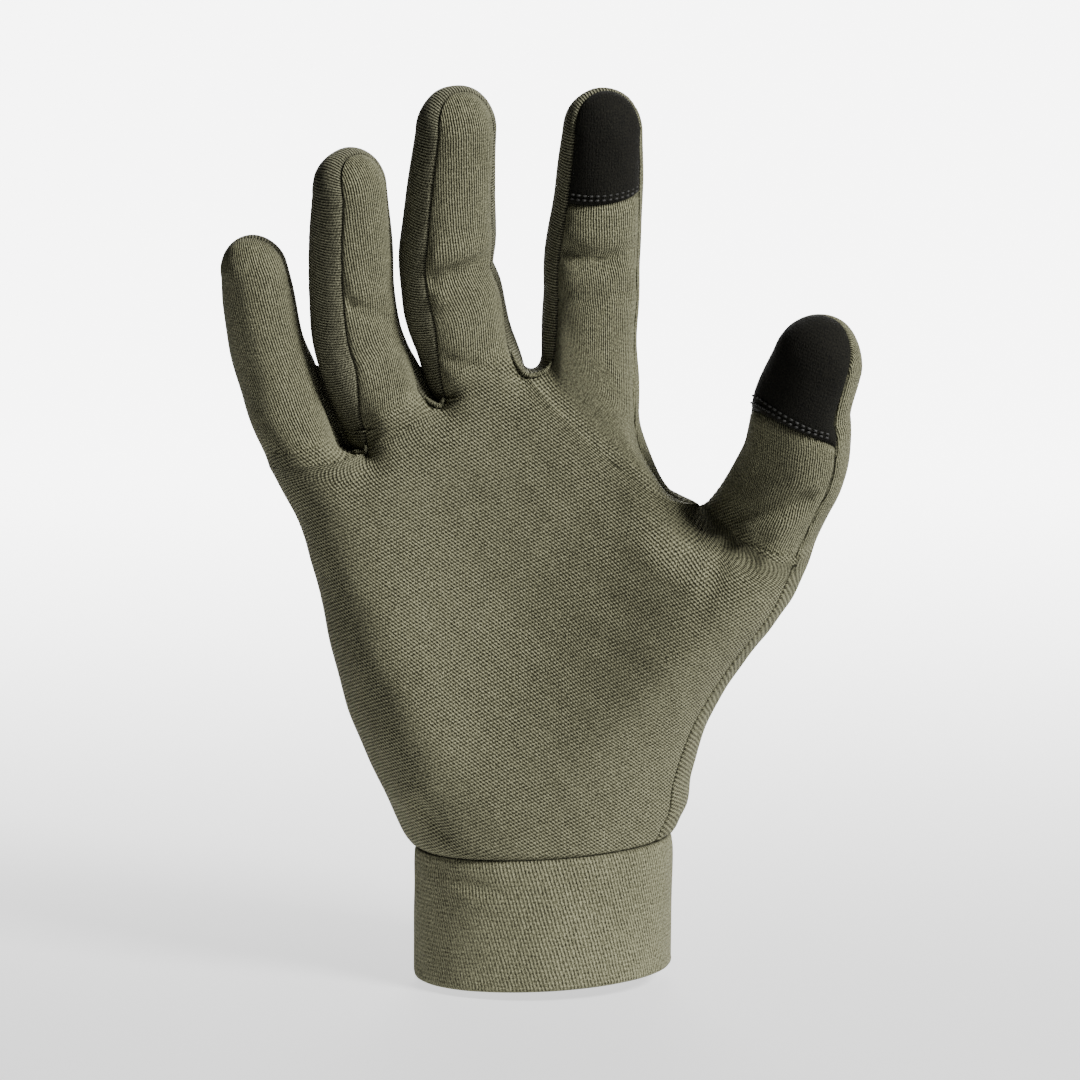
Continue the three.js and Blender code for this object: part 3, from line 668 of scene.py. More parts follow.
def save_mesh(name, p, faces, material, uvs=(), floats=(), corners=None):
    """A Blender mesh from arrays in millimetres, with its UV maps and its numbers per point.

    A corner that repeats an earlier one of its face is left out, which makes that face a triangle. corners
    says which row of a UV map each corner reads, where that isn't the corner's own point.
    """
    keep = np.stack([~np.any(faces[:, :k] == faces[:, k:k + 1], axis=1) for k in range(4)], axis=-1)
    counts = keep.sum(axis=1)
    mesh = bpy.data.meshes.new(name)
    mesh.vertices.add(len(p))
    mesh.vertices.foreach_set("co", (p * MM).astype(np.float32).ravel())
    mesh.loops.add(int(keep.sum()))
    mesh.loops.foreach_set("vertex_index", faces[keep].astype(np.int32))
    mesh.polygons.add(len(faces))
    mesh.polygons.foreach_set("loop_start", (np.cumsum(counts) - counts).astype(np.int32))
    mesh.polygons.foreach_set("use_smooth", np.ones(len(faces), bool))
    rows = (faces if corners is None else corners)[keep]
    for label, values in uvs:
        layer = mesh.uv_layers.new(name=label)
        layer.data.foreach_set("uv", values[rows].astype(np.float32).ravel())
    for label, values in floats:
        mesh.attributes.new(label, "FLOAT", "POINT").data.foreach_set("value", values.astype(np.float32))
    mesh.update(calc_edges=True)
    mesh.validate()
    piece = bpy.data.objects.new(name, mesh)
    bpy.context.scene.collection.objects.link(piece)
    mesh.materials.append(material)
    print(name, "has", len(mesh.polygons), "faces")
    return piece


def cloth(panel, material, creased):
    """Welds a panel's patches, shapes both skins and closes them along the panel's edges."""
    outer = np.concatenate([a.reshape(-1, 3) for a, _, _ in panel.patches])
    inner = np.concatenate([b.reshape(-1, 3) for _, b, _ in panel.patches])
    values = np.concatenate([v for _, _, v in panel.patches])
    starts = np.cumsum([0] + [a.shape[0] * a.shape[1] for a, _, _ in panel.patches])
    quads = np.concatenate([grid_faces(*a.shape[:2], s) for (a, _, _), s in zip(panel.patches, starts)])
    _, first, same = np.unique(np.round(outer, 3), axis=0, return_index=True, return_inverse=True)
    welded = same.ravel()[quads]
    area = np.linalg.norm(np.cross(outer[quads[:, 2]] - outer[quads[:, 0]],
                                   outer[quads[:, 3]] - outer[quads[:, 1]]), axis=1)
    quads, welded = quads[area > 1e-7], welded[area > 1e-7]
    outer, inner = outer[first], inner[first]
    normal = vertex_normals(outer, welded)
    if np.sum(normal * (outer - inner)) < 0:
        welded, quads, normal = welded[:, ::-1], quads[:, ::-1], -normal
    size = len(first)
    lowest = np.full(size, 1e9)
    np.minimum.at(lowest, same.ravel(), values[:, 0])
    run, digit = values[first, 1], values[first, 6]
    height = uneven(outer) * ease(lowest / 3)
    if creased:
        # Creases fade where the cloth turns away from the front, so that no outline is notched.
        towards = ease(-normal[:, 1] * 1.3 - 0.2)
        height = height + crease(outer[:, 0], outer[:, 2]) * towards * ease(lowest / 2)
    top = outer + normal * (height + seam_height(lowest, run))[:, None]
    low = inner + normal * height[:, None]
    rim = open_rim(welded, size)
    # The corners keep the UVs of their own patch, so that two patches can meet with different maps.
    return save_mesh(panel.name, np.concatenate([top, low]),
                     np.concatenate([welded, welded[:, ::-1] + size, rim]), material,
                     [("palm cloth", values[:, 2:4]), ("digit cloth", values[:, 4:6])],
                     [("seam", np.append(lowest, np.full(size, FAR))), ("digit", np.append(digit, digit))],
                     np.concatenate([quads, quads[:, ::-1], first[rim % size]]))


# %% [markdown]
# ## Colours and cloth materials
# The jersey is spun from two shades of sage, so it looks speckled from near and even from far. A jersey's
# real stitches are about half a millimetre wide. They are drawn at 0.8 mm here, because half a millimetre
# would be less than three pixels wide in the picture.
#
# Stitches are two families of waves on the flat cloth: wales that run along each finger, and courses across
# them. On the palm the courses show as much as the wales, and both are turned by 22 degrees.

# %% Node helpers and the knit


def colour(code):
    """sRGB hex to linear, the way the sRGB curve is defined."""
    parts = [int(code[i:i + 2], 16) / 255 for i in (1, 3, 5)]
    return tuple(c / 12.92 if c <= 0.04045 else ((c + 0.055) / 1.055) ** 2.4 for c in parts) + (1.0,)


def node(tree, kind, inputs=None, **settings):
    """Adds a node, sets its options, and gives each input a value or a link."""
    made = tree.nodes.new(kind)
    for key, value in settings.items():
        setattr(made, key, value)
    for key, value in (inputs or {}).items():
        if isinstance(value, bpy.types.NodeSocket):
            tree.links.new(value, made.inputs[key])
        else:
            made.inputs[key].default_value = value
    return made


def maths(tree, operation, a, b=0.0, c=0.0):
    return node(tree, "ShaderNodeMath", {0: a, 1: b, 2: c}, operation=operation).outputs[0]


WANDER = 0.4


def stitches(tree, uv, turn, wale, course, lean, wale_pitch, course_pitch):
    """wale cos(u + lean v) + course cos(v), u and v in turns of their pitch: rows of short slanted dashes.

    The rows wander by up to WANDER millimetres, and the yarn is thicker in some places than in others.
    """
    turned = node(tree, "ShaderNodeMapping", {"Vector": uv, "Rotation": (0, 0, math.radians(turn))})
    wander = node(tree, "ShaderNodeTexNoise", {"Vector": turned.outputs[0], "Scale": 0.22, "Detail": 3.0})
    shift = node(tree, "ShaderNodeVectorMath", {0: wander.outputs["Color"], 1: (WANDER, WANDER, 0)},
                 operation="MULTIPLY")
    moved = node(tree, "ShaderNodeVectorMath", {0: turned.outputs[0], 1: shift.outputs[0]}, operation="ADD")
    axes = node(tree, "ShaderNodeSeparateXYZ", {0: moved.outputs[0]})
    u = maths(tree, "MULTIPLY", axes.outputs[0], 2 * math.pi / wale_pitch)
    v = maths(tree, "MULTIPLY", axes.outputs[1], 2 * math.pi / course_pitch)
    dashes = maths(tree, "MULTIPLY", maths(tree, "COSINE", maths(tree, "MULTIPLY_ADD", v, lean, u)), wale)
    rows = maths(tree, "MULTIPLY", maths(tree, "COSINE", v), course)
    stretched = node(tree, "ShaderNodeMapping", {"Vector": moved.outputs[0], "Scale": (2.2, 1.0, 1.0)})
    slub = node(tree, "ShaderNodeTexNoise", {"Vector": stretched.outputs[0], "Scale": 1.5, "Detail": 2.0})
    uneven_yarn = maths(tree, "MULTIPLY_ADD", slub.outputs[0], 2.2, -1.1)
    return maths(tree, "ADD", maths(tree, "ADD", dashes, rows), uneven_yarn)


def knit(name, light, dark, palm=(-22, 0.62, 0.66, 0.55, 0.8, 0.84),
         digit=(0, 0.8, 0.16, 0.12, 0.62, 0.8), depth=0.32, contrast=1.0, sheen=0.15):
    """Jersey or rib. palm and digit hold a turn in degrees, two strengths, a lean and two pitches in mm."""
    material = bpy.data.materials.new(name)
    material.use_nodes = True
    tree = material.node_tree
    bsdf = tree.nodes["Principled BSDF"]
    palm_uv = node(tree, "ShaderNodeUVMap", uv_map="palm cloth").outputs[0]
    digit_uv = node(tree, "ShaderNodeUVMap", uv_map="digit cloth").outputs[0]
    on_digit = node(tree, "ShaderNodeAttribute", attribute_name="digit").outputs["Fac"]
    seam = node(tree, "ShaderNodeAttribute", attribute_name="seam").outputs["Fac"]
    place = node(tree, "ShaderNodeTexCoord").outputs["Object"]
    height = node(tree, "ShaderNodeMix", {0: on_digit, 2: stitches(tree, palm_uv, *palm),
                                          3: stitches(tree, digit_uv, *digit)}, data_type="FLOAT").outputs[0]
    fibre = node(tree, "ShaderNodeTexNoise", {"Vector": place, "Scale": 2600.0, "Detail": 2.0}).outputs[0]
    cloud = node(tree, "ShaderNodeTexNoise", {"Vector": place, "Scale": 60.0, "Detail": 4.0}).outputs[0]
    tone = maths(tree, "MULTIPLY_ADD", height, contrast * 0.5, 0.5)
    tone = maths(tree, "ADD", tone, maths(tree, "MULTIPLY_ADD", fibre, 2.0, -1.0))
    tone = maths(tree, "ADD", tone, maths(tree, "MULTIPLY_ADD", cloud, 0.3, -0.15))
    tint = node(tree, "ShaderNodeMix", {0: tone, 6: colour(dark), 7: colour(light)}, data_type="RGBA",
                clamp_factor=True).outputs[2]
    near = node(tree, "ShaderNodeMapRange", {0: seam, 1: 0.05, 2: 0.55, 3: 0.35, 4: 1.0}).outputs[0]
    shaded = node(tree, "ShaderNodeMix", {0: near, 6: colour("#15140e"), 7: tint}, data_type="RGBA")
    tree.links.new(shaded.outputs[2], bsdf.inputs["Base Color"])
    relief = maths(tree, "MULTIPLY_ADD", fibre, 0.7, height)
    bump = node(tree, "ShaderNodeBump", {"Strength": 1.0, "Distance": depth * MM, "Height": relief})
    tree.links.new(bump.outputs[0], bsdf.inputs["Normal"])
    bsdf.inputs["Roughness"].default_value = 0.92
    bsdf.inputs["Specular IOR Level"].default_value = 0.15
    bsdf.inputs["Sheen Weight"].default_value = sheen
    bsdf.inputs["Sheen Roughness"].default_value = 0.5
    bsdf.inputs["Sheen Tint"].default_value = colour("#c9c8a8")
    return material


RIBS = (0, 0.55, 0.22, 0.35, 0.74, 1.1)
sage_jersey = knit("Sage cotton jersey", "#8a896d", "#2f2e1f")
# The side strips' colours are a little darker than the palm's, painted shade for the fingers' shaded sides.
shaded_side_jersey = knit("Sage jersey turned for the side strips", "#82816a", "#2d2c1e",
                   digit=(0, 0.2, 0.8, 0.2, 0.8, 0.7))
cuff_knit = knit("Sage double knit of the cuff", "#8a896d", "#2f2e1f", palm=RIBS, digit=RIBS,
                 depth=0.26, contrast=0.8)
touch_felt = knit("Black brushed touch cloth", "#191812", "#030302", palm=(0, 0.1, 0.1, 0, 0.8, 0.8),
                  digit=(0, 0.12, 0.12, 0, 0.8, 0.8), depth=0.12, contrast=0.45, sheen=0.0)
print("cloth materials:", sage_jersey.name, shaded_side_jersey.name, cuff_knit.name, touch_felt.name)

# %% [markdown]
# ## The palm side and the back
# Both are cut in one piece from the cuff to the fingertips. The palm's front ends at the two touch tips. The
# back goes round the thumb edge and shows as a narrow strip in front of it, with its rows square to the seam.

# %% The two large panels
COLUMNS = spread(35)
PALM_SHARES = 1 - (1 - np.linspace(0, 1, 112)) ** 1.15
LOW_ROWS, HIGH_ROWS, CAP_TURNS = np.linspace(0, 1, 54), np.linspace(1, 2, 27), np.linspace(0, 1, 15)


def whole_palm(face):
    """All five strips side by side, and how far each point is across the cloth: the length of the xy path."""
    strips_p = [palm_strip(face, i, PALM_SHARES[:, None], COLUMNS[None, :], 0.0) for i in range(len(digits))]
    p = np.concatenate(strips_p, axis=1)
    flat = p * [1, 1, 0]
    across = arc(flat, 1)
    middle = p.shape[1] // 2
    across = across - across[:, middle:middle + 1] + p[:, middle:middle + 1, 0]
    wide = len(COLUMNS)
    return [(strips_p[i], across[:, i * wide:(i + 1) * wide]) for i in range(len(digits))]


palm_maps = {face: whole_palm(face) for face in (1, -1)}


def digit_seam(p):
    """The distance along each row to its nearer end."""
    along_row = arc(p, 1)
    return np.minimum(along_row, along_row[:, -1:] - along_row)


def along_edge(p):
    """The distance up the middle of a patch, the same across each row."""
    return arc(p, 0)[:, p.shape[1] // 2:p.shape[1] // 2 + 1]


def strip_seam(i, face, p):
    """The distance to the cuff's seam, to the outline on the two outer strips, or to a crotch's point."""
    seam = np.linalg.norm(p - p[:1], axis=-1)
    if i == LITTLE:
        seam = np.minimum(seam, arc(p, 1))
    if i == THUMB:
        seam = np.minimum(seam, arc(p, 1)[:, -1:] - arc(p, 1))
    for k in range(len(crotches)):
        seam = np.minimum(seam, np.linalg.norm(p - crotch_point(k, face, 0.0), axis=-1))
    return seam


def add_palm_strip(panel, i, face):
    """The part of the palm or the back under one digit, flat from the cuff up."""
    at = lambda r, c, inset: palm_strip(face, i, r, c, inset)
    p, across = palm_maps[face][i]
    flat = (across, p[..., 2])
    run = p[..., 2] + 0.4 * p[..., 0]
    panel.patch(at, PALM_SHARES, COLUMNS, strip_seam(i, face, p), run, flat, flat, 0.0)


# In millimetres up a digit, where its cloth starts to turn from the palm's rows to its own, and how slowly.
TURN_FROM, TURN_OVER = 2, 9


def digit_maps(i, face, p):
    """The palm's cloth carried on up the digit, the digit's own, and the change from one to the other."""
    start = p[:1]
    up = arc(p, 0)
    palm_map = (palm_maps[face][i][1][-1:] + (p[..., 0] - start[..., 0]), p[..., 2])
    own = (centred(p), along_edge(p) + np.zeros_like(up))
    return palm_map, own, ease((up - TURN_FROM) / TURN_OVER)


def add_face(panel, i, face, rows, cut):
    """A digit's palm side or back. cut names the end that a touch tip's hem crosses, if one does."""
    at = lambda r, c, inset: face_point(i, face, r, c, inset)
    p = at(rows[:, None], COLUMNS[None, :], 0.0)
    seam = digit_seam(p)
    palm_map, own, share = digit_maps(i, face, p)
    if cut == "end":
        seam = np.minimum(seam, np.linalg.norm(p - p[-1:], axis=-1))
    if cut == "start":
        seam = np.minimum(seam, np.linalg.norm(p - p[:1], axis=-1))
        share = np.ones_like(share)
    panel.patch(at, rows, COLUMNS, seam, along_edge(p), palm_map, own, share)
    return along_edge(p)[-1, 0]


def add_cap(panel, i, face, run):
    """The round tip in two halves, its cloth laid out in rays from the pole that is run up the digit."""
    d = digits[i]
    for half in (-1, 1):
        cols = COLUMNS[COLUMNS <= 1e-9] if half < 0 else COLUMNS[COLUMNS >= -1e-9]
        at = lambda r, c, inset: cap_face_point(i, face, r, c, inset, half)
        p = at(CAP_TURNS[:, None], cols[None, :], 0.0)
        reach = arc(p, 1)
        seam = reach if half < 0 else reach[:, -1:] - reach
        from_pole = reach[:, -1:] - reach if half < 0 else reach
        azimuth = CAP_TURNS[:, None] * math.pi / 2
        own = (half * from_pole * np.cos(azimuth), run + from_pole * np.sin(azimuth))
        edge = run + CAP_TURNS[:, None] * math.pi / 2 * d["tip"] * d["width"]
        panel.patch(at, CAP_TURNS, cols, seam, edge, own, own, 1.0)


def hand_panel(name, face):
    """The palm (face 1) or the back (face -1), with all the digits that it goes up."""
    panel = Panel(name)
    for i in range(len(digits)):
        add_palm_strip(panel, i, face)
        cut = face > 0 and i in (INDEX, THUMB)
        rows = LOW_ROWS if cut else np.append(LOW_ROWS, HIGH_ROWS[1:])
        run = add_face(panel, i, face, rows, "end" if cut else None)
        if not cut:
            add_cap(panel, i, face, run)
    return panel


palm = cloth(hand_panel("palm_panel_of_sage_jersey", 1), sage_jersey, True)
back = cloth(hand_panel("back_panel_of_sage_jersey", -1), sage_jersey, False)

# %% [markdown]
# ## Touch tips
# The index finger and the thumb have tips of a black brushed cloth that a touch screen feels. Each ends in a
# turned hem, held by two rows of stitches in black thread.

# %% The two touch tips


def touch_tip(name, i):
    """The upper rows of a digit's palm side and its round tip, cut from the dark cloth."""
    panel = Panel(name)
    run = add_face(panel, i, 1, HIGH_ROWS, "start")
    add_cap(panel, i, 1, run)
    return panel


index_tip = cloth(touch_tip("index_touch_tip_of_black_cloth", INDEX), touch_felt, False)
thumb_tip = cloth(touch_tip("thumb_touch_tip_of_black_cloth", THUMB), touch_felt, False)

# %% [markdown]
# ## Side strips
# Between each two fingers runs one narrow strip, from the tip of one, round the crotch and up to the tip of
# the other. Its jersey is turned, so its ribs lie square to its seams, and it is a little darker than the
# palm's: painted shade for the shaded sides of the fingers.

# %% The three side strips
ACROSS = (spread(15) + 1) / 2


def side_maps(p):
    """Where each point lies on a strip's own cloth: from its middle line, and up it."""
    across = arc(p, 1)
    return across - across[:, -1:] / 2, along_edge(p) + np.zeros_like(across)


# For each strip, how far it swells in millimetres and where that ends, as a share of the finger's lower rows.
SWELL = {LITTLE: (0.95, 0.8), RING: (0.7, 0.42), MIDDLE: (0.0, 0.5)}


def swollen(i, side, r, c, inset, first):
    """side_point moved out by amount sin^2(pi v) on the stretch where neighbouring fingers press together."""
    p = side_point(i, side, r, c, inset)
    out = unit(side_point(i, side, r, c, 0.0) - side_point(i, side, r, c, WALL))
    low = np.clip(np.broadcast_to(r, p.shape[:2]), 0, 1)
    most, end = SWELL[first]
    begin, rise_over, fall_over = 0.08, 0.16, 0.2
    amount = most * ease((low - begin) / rise_over) * (1 - ease((low - end) / fall_over))
    return p + out * (amount * np.sin(math.pi * np.broadcast_to(c, p.shape[:2])) ** 2)[..., None]


def row_for(i, side, run):
    """The row whose distance from the crotch is run, the inverse of along_rows."""
    start, _ = side_start(i, side, 1, 0.0)
    stop = (digits[i]["left"] if side < 0 else digits[i]["right"])[2] * digits[i]["length"]
    return (run / (stop - start)) ** (1 / ROW_CROWDING)


# In millimetres, how deep the pinched cloth starts under the strip, how far it sinks and waves and how thick
# it is. Its knit is stretched: it is drawn as if the cloth were only as wide as KNIT_ACROSS.
PINCH_INSET, PINCH_SINK, PINCH_WAVE, PINCH_WALL, KNIT_ACROSS = 0.6, 0.7, 0.45, 1.1, 3.0
PINCH_AT = np.array([[0.3]])


def pinched_fold(k, reach, name):
    """The strip's cloth pinched between two fingers: from one finger's side to the next's, sunk a little."""
    run = np.linspace(0.4, reach, 60)
    one, two = [side_point(i, side, row_for(i, side, run)[:, None], PINCH_AT, PINCH_INSET)
                for i, side in ((k, 1), (k + 1, -1))]
    w = np.linspace(0, 1, 15)[None, :, None]
    wave = PINCH_WAVE * np.sin(w * 3 * math.pi + run[:, None, None] / 3.5)
    sink = (PINCH_SINK + wave) * np.sin(math.pi * w)
    front = one + (two - one) * w + np.array([0, 1.0, 0]) * sink
    behind = front + np.array([0, PINCH_WALL, 0])
    quads = grid_faces(*front.shape[:2], 0)
    size = front.shape[0] * front.shape[1]
    p = np.concatenate([front.reshape(-1, 3), behind.reshape(-1, 3)])
    quads = np.concatenate([quads, quads[:, ::-1] + size, open_rim(quads, size)])
    if np.sum(vertex_normals(p, quads)[:size, 1]) > 0:
        quads = quads[:, ::-1]
    one_face = np.stack(np.broadcast_arrays(run[:, None], w[..., 0] * KNIT_ACROSS), -1).reshape(-1, 2)
    uv = np.concatenate([one_face, one_face])
    long, wide = run[-1] - run[0], arc(front, 1)[:, -1].mean()
    print(name, "is", round(float(long), 1), "mm long and", round(float(wide), 1), "mm wide")
    return save_mesh(name, p, quads, shaded_side_jersey, [("palm cloth", uv), ("digit cloth", uv[:, ::-1])],
                     [("seam", np.full(2 * size, FAR)), ("digit", np.ones(2 * size))])


def fourchette(name, first):
    """Two legs, each up the side of a finger and over its round tip as far as the strip goes."""
    panel = Panel(name)
    rows = np.append(LOW_ROWS, HIGH_ROWS[1:])
    for i, side in ((first, 1), (first + 1, -1)):
        d = digits[i]
        # The two legs mirror each other, so one runs its columns backwards and both face outwards.
        cols = ACROSS[::-1] if side > 0 else ACROSS
        at = lambda r, c, inset: swollen(i, side, r, c, inset, first)
        p = at(rows[:, None], cols[None, :], 0.0)
        own = side_maps(p)
        panel.patch(at, rows, cols, digit_seam(p), along_edge(p), own, own, 1.0)
        begin, meet = 0 if side > 0 else math.pi, math.radians(d["meet"])
        azimuths = np.linspace(begin, meet, 22 if abs(meet - begin) > 1 else 12)
        at = lambda r, c, inset: cap_side_point(i, r, c, inset)
        p = at(azimuths[:, None], cols[None, :], 0.0)
        across, up = side_maps(p)
        cap_own = (across, up + own[1][-1, 0])
        run = own[1][-1, 0] + np.abs(azimuths - begin)[:, None] * d["tip"] * d["width"]
        panel.patch(at, azimuths, cols, digit_seam(p), run, cap_own, cap_own, 1.0)
    return panel


strips = [
    cloth(fourchette("side_strip_between_little_and_ring_finger", LITTLE), shaded_side_jersey, False),
    cloth(fourchette("side_strip_between_ring_and_middle_finger", RING), shaded_side_jersey, False),
    cloth(fourchette("side_strip_between_middle_and_index_finger", MIDDLE), shaded_side_jersey, False),
]

folds = [
    pinched_fold(LITTLE, 23.0, "pinched_cloth_between_little_and_ring_finger"),
    pinched_fold(RING, 9.5, "pinched_cloth_between_ring_and_middle_finger"),
]

# %% [markdown]
# ## The cuff
# The cuff is a tube of knit folded double, so its hem is a soft round fold and has no stitches. It is sewn to
# the glove with a deep seam, and the glove's body swells over that seam a little.

# %% The cuff


CUFF_PUCKERS = 132
# The angle at which the cuff's crease is deepest, its fall in millimetres per radian, and how high it and its
# ridge are there.
CREASE_ANGLE, CREASE_SLOPE, CREASE_UP, RIDGE_UP = -0.62, 6.0, 27.5, 24.2


def cuff_point(angle, along):
    """An oval ring swept up: angle 0 faces the camera, and along goes down one wall and up the other."""
    top = CUFF_HEIGHT - SEAM_GAP / 2
    r = CUFF_WALL / 2
    wall = top - r
    outside = np.clip((wall - along) / wall, 0, 1)
    fold = np.clip((along - wall) / (math.pi * r), 0, 1) * math.pi
    inside = np.clip((along - wall - math.pi * r) / wall, 0, 1)
    inset = r - r * np.cos(fold)
    turned = np.where(inside > 0, r + inside * wall, r - r * np.sin(fold))
    rise = np.where(along <= wall, r + outside * wall, turned)
    roll = np.where(along < wall, 0.75 * (1 - fillet(along / 1.3)) + 0.3 * np.exp(-(along / 2.5) ** 2), 0)
    waves = (0.14 * np.sin(3 * angle + rise / 9) + 0.1 * np.sin(7 * angle + 1.3 * np.sin(rise / 6))
             + 0.05 * np.sin(17 * angle + rise / 4)) * np.where(along < wall, ease(along / 3), 0.4)
    gather = 0.1 * np.cos(angle * CUFF_PUCKERS) * np.exp(-(along / 1.4) ** 2) * ease(along / 0.3 + 0.3)
    # One crease, and the ridge below it, run slantwise across the left of the cuff.
    beside = angle - CREASE_ANGLE
    slanted = rise + CREASE_SLOPE * beside
    crease_in = 0.55 * np.exp(-((slanted - CREASE_UP) / 1.5) ** 2 - (beside / 0.34) ** 2)
    crease_out = 0.35 * np.exp(-((slanted - RIDGE_UP) / 2.0) ** 2 - (beside / 0.36) ** 2)
    into = inset + roll - waves + (crease_in - crease_out - gather) * (along < wall)
    x = (CUFF_WIDTH / 2 - into) * np.sin(angle)
    return points(x, -(CUFF_DEPTH / 2 - into) * np.cos(angle), rise + x * math.tan(CUFF_TILT))


def closed_cuff():
    """Rings of points down the outside, round the fold and up the inside, and back to the first."""
    wall = CUFF_HEIGHT - CUFF_WALL / 2
    down = np.concatenate([[0, 0.15, 0.4, 0.8], np.linspace(1.3, wall, 44)])
    turn = wall + np.linspace(0, 1, 9)[1:] * math.pi * CUFF_WALL / 2
    up = turn[-1] + np.linspace(0, wall, 20)[1:]
    along = np.concatenate([down, turn, up])
    angle = np.linspace(0, 2 * math.pi, 360, endpoint=False)
    angle = np.where(angle > math.pi, angle - 2 * math.pi, angle)
    p = cuff_point(angle[:, None], along[None, :])
    n, m = p.shape[:2]
    ids = np.arange(n * m).reshape(n, m)
    right = np.roll(ids, -1, axis=0)
    quads = np.stack([ids, right, np.roll(right, -1, axis=1), np.roll(ids, -1, axis=1)], -1).reshape(-1, 4)
    uv = np.stack(np.broadcast_arrays(angle[:, None] * 26.5, -along[None, :]), -1).reshape(-1, 2)
    seam = np.broadcast_to(np.where(along < wall, along, FAR)[None, :], (n, m)).ravel()
    return p.reshape(-1, 3), quads, uv, seam


cuff_p, cuff_q, cuff_uv, cuff_seam = closed_cuff()
if np.sum(vertex_normals(cuff_p, cuff_q) * (cuff_p * [1, 1, 0])) < 0:
    cuff_q = cuff_q[:, ::-1]
cuff = save_mesh("double_knit_cuff", cuff_p, cuff_q, cuff_knit,
                 [("palm cloth", cuff_uv), ("digit cloth", cuff_uv)],
                 [("seam", cuff_seam), ("digit", np.zeros(len(cuff_p)))])

# %% [markdown]
# ## Thread
# Stitches are short round-ended lengths of thread, laid in any number along given lines. They and the longer
# cords round the crotches are rows of rings, and one function gives the faces of both.

# %% Thread laid on the surface


def ring_faces(count, rings, sides):
    """The outward quads of tubes made of rings, with a ladder of quads across each of their ends."""
    ids = np.arange(count * rings * sides).reshape(count, rings, sides)
    beside = np.roll(ids, -1, axis=2)
    walls = np.stack([ids[:, :-1], beside[:, :-1], beside[:, 1:], ids[:, 1:]], -1).reshape(-1, 4)
    ladder = np.array([[k, k + 1, sides - 2 - k, sides - 1 - k] for k in range(sides // 2 - 1)])
    foot, head = ids[:, 0][:, ladder[:, ::-1]], ids[:, -1][:, ladder]
    return np.concatenate([walls, foot.reshape(-1, 4), head.reshape(-1, 4)])[:, ::-1]


def tubes(ends_a, ends_b, radius, lift, normal, rings=9, sides=8):
    """Each stitch is a spindle from a to b: r(t) = radius (1 - (2t - 1)^4)^(1/2), arched off the cloth."""
    t = np.linspace(0, 1, rings)
    bulge = np.sqrt(np.maximum(1 - np.abs(2 * t - 1) ** 4, 0.0))
    axis = unit(ends_b - ends_a)
    side = unit(np.cross(axis, normal))
    up = np.cross(side, axis)
    turn = np.linspace(0, 2 * math.pi, sides, endpoint=False)[:, None]
    centre = (ends_a[:, None] + (ends_b - ends_a)[:, None] * t[None, :, None]
              + up[:, None] * (lift * np.sin(math.pi * t))[None, :, None])
    ring = side[:, None, None] * np.cos(turn) + up[:, None, None] * np.sin(turn)
    p = centre[:, :, None] + ring * (radius * np.maximum(bulge, 0.02))[None, :, None, None]
    return p.reshape(-1, 3), ring_faces(len(ends_a), rings, sides)


def surface(i, along_t, b):
    """A point of the palm side and its outward normal, by small differences."""
    h = 1e-3
    p = face_point(i, 1, along_t, b, 0.0)
    across, up = face_point(i, 1, along_t, b + h, 0.0) - p, face_point(i, 1, along_t + h, b, 0.0) - p
    normal = unit(np.cross(across, up))
    outward = p - face_point(i, 1, along_t, b, WALL)
    return p, normal * np.sign(np.sum(normal * outward, axis=-1, keepdims=True))


STITCH_SHARE, SUNK = 0.72, 0.12
THREAD_RADIUS, THREAD_ARCH = 0.27, 0.2


def hem_rows(i, from_hem, pitch):
    """Stitches across a touch tip, each row at its own height above the hem in millimetres."""
    d = digits[i]
    starts, ends, normals = [], [], []
    upper = (1 - (d["left"][2] + d["right"][2]) / 2) * d["length"]
    for height in from_hem:
        b = np.linspace(-0.93, 0.93, 400)
        p, normal = surface(i, 1 + height / upper, b)
        run = np.concatenate([[0], np.cumsum(np.linalg.norm(np.diff(p, axis=0), axis=1))])
        marks = np.arange(0.3, run[-1] - pitch, pitch)
        pick = lambda row, at: np.stack([np.interp(at, run, row[:, k]) for k in range(3)], -1)
        up = pick(normal, marks)
        starts.append(pick(p, marks) - up * SUNK)
        ends.append(pick(p, marks + pitch * STITCH_SHARE) - up * SUNK)
        normals.append(up)
        print("a row of", len(marks), "stitches is", round(float(run[-1]), 1), "mm long")
    return np.concatenate(starts), np.concatenate(ends), np.concatenate(normals)


def thread(name, code):
    """Spun thread: matt, with a fine twist that only a close view shows."""
    material = bpy.data.materials.new(name)
    material.use_nodes = True
    tree = material.node_tree
    bsdf = tree.nodes["Principled BSDF"]
    place = node(tree, "ShaderNodeTexCoord").outputs["Object"]
    twist = node(tree, "ShaderNodeTexWave", {"Vector": place, "Scale": 900.0, "Distortion": 2.0},
                 bands_direction="DIAGONAL").outputs[1]
    bump = node(tree, "ShaderNodeBump", {"Strength": 0.6, "Distance": 0.05 * MM, "Height": twist})
    tree.links.new(bump.outputs[0], bsdf.inputs["Normal"])
    bsdf.inputs["Base Color"].default_value = colour(code)
    bsdf.inputs["Roughness"].default_value = 0.7
    return material


black_thread = thread("Black polyester thread", "#14130f")
for name, i, from_hem, pitch in (("index_touch_tip_hem_stitches", INDEX, (1.3, 2.3), 1.55),
                                 ("thumb_touch_tip_hem_stitches", THUMB, (1.4, 2.6), 1.6)):
    low, high, normal = hem_rows(i, from_hem, pitch)
    p, quads = tubes(low, high, THREAD_RADIUS, THREAD_ARCH, normal)
    piece = save_mesh(name, p, quads, black_thread)
    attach(piece, "root")

# %% [markdown]
# At the foot of each gap between two fingers the seam's allowance is turned out, which shows as a narrow
# light U. It is a soft cord of cloth that follows the seam down one finger, round and up the next.

# %% Piping round the crotches


PIPING_SIDES, PIPING_PROUD, PIPING_LINE = 10, 0.22, 0.985


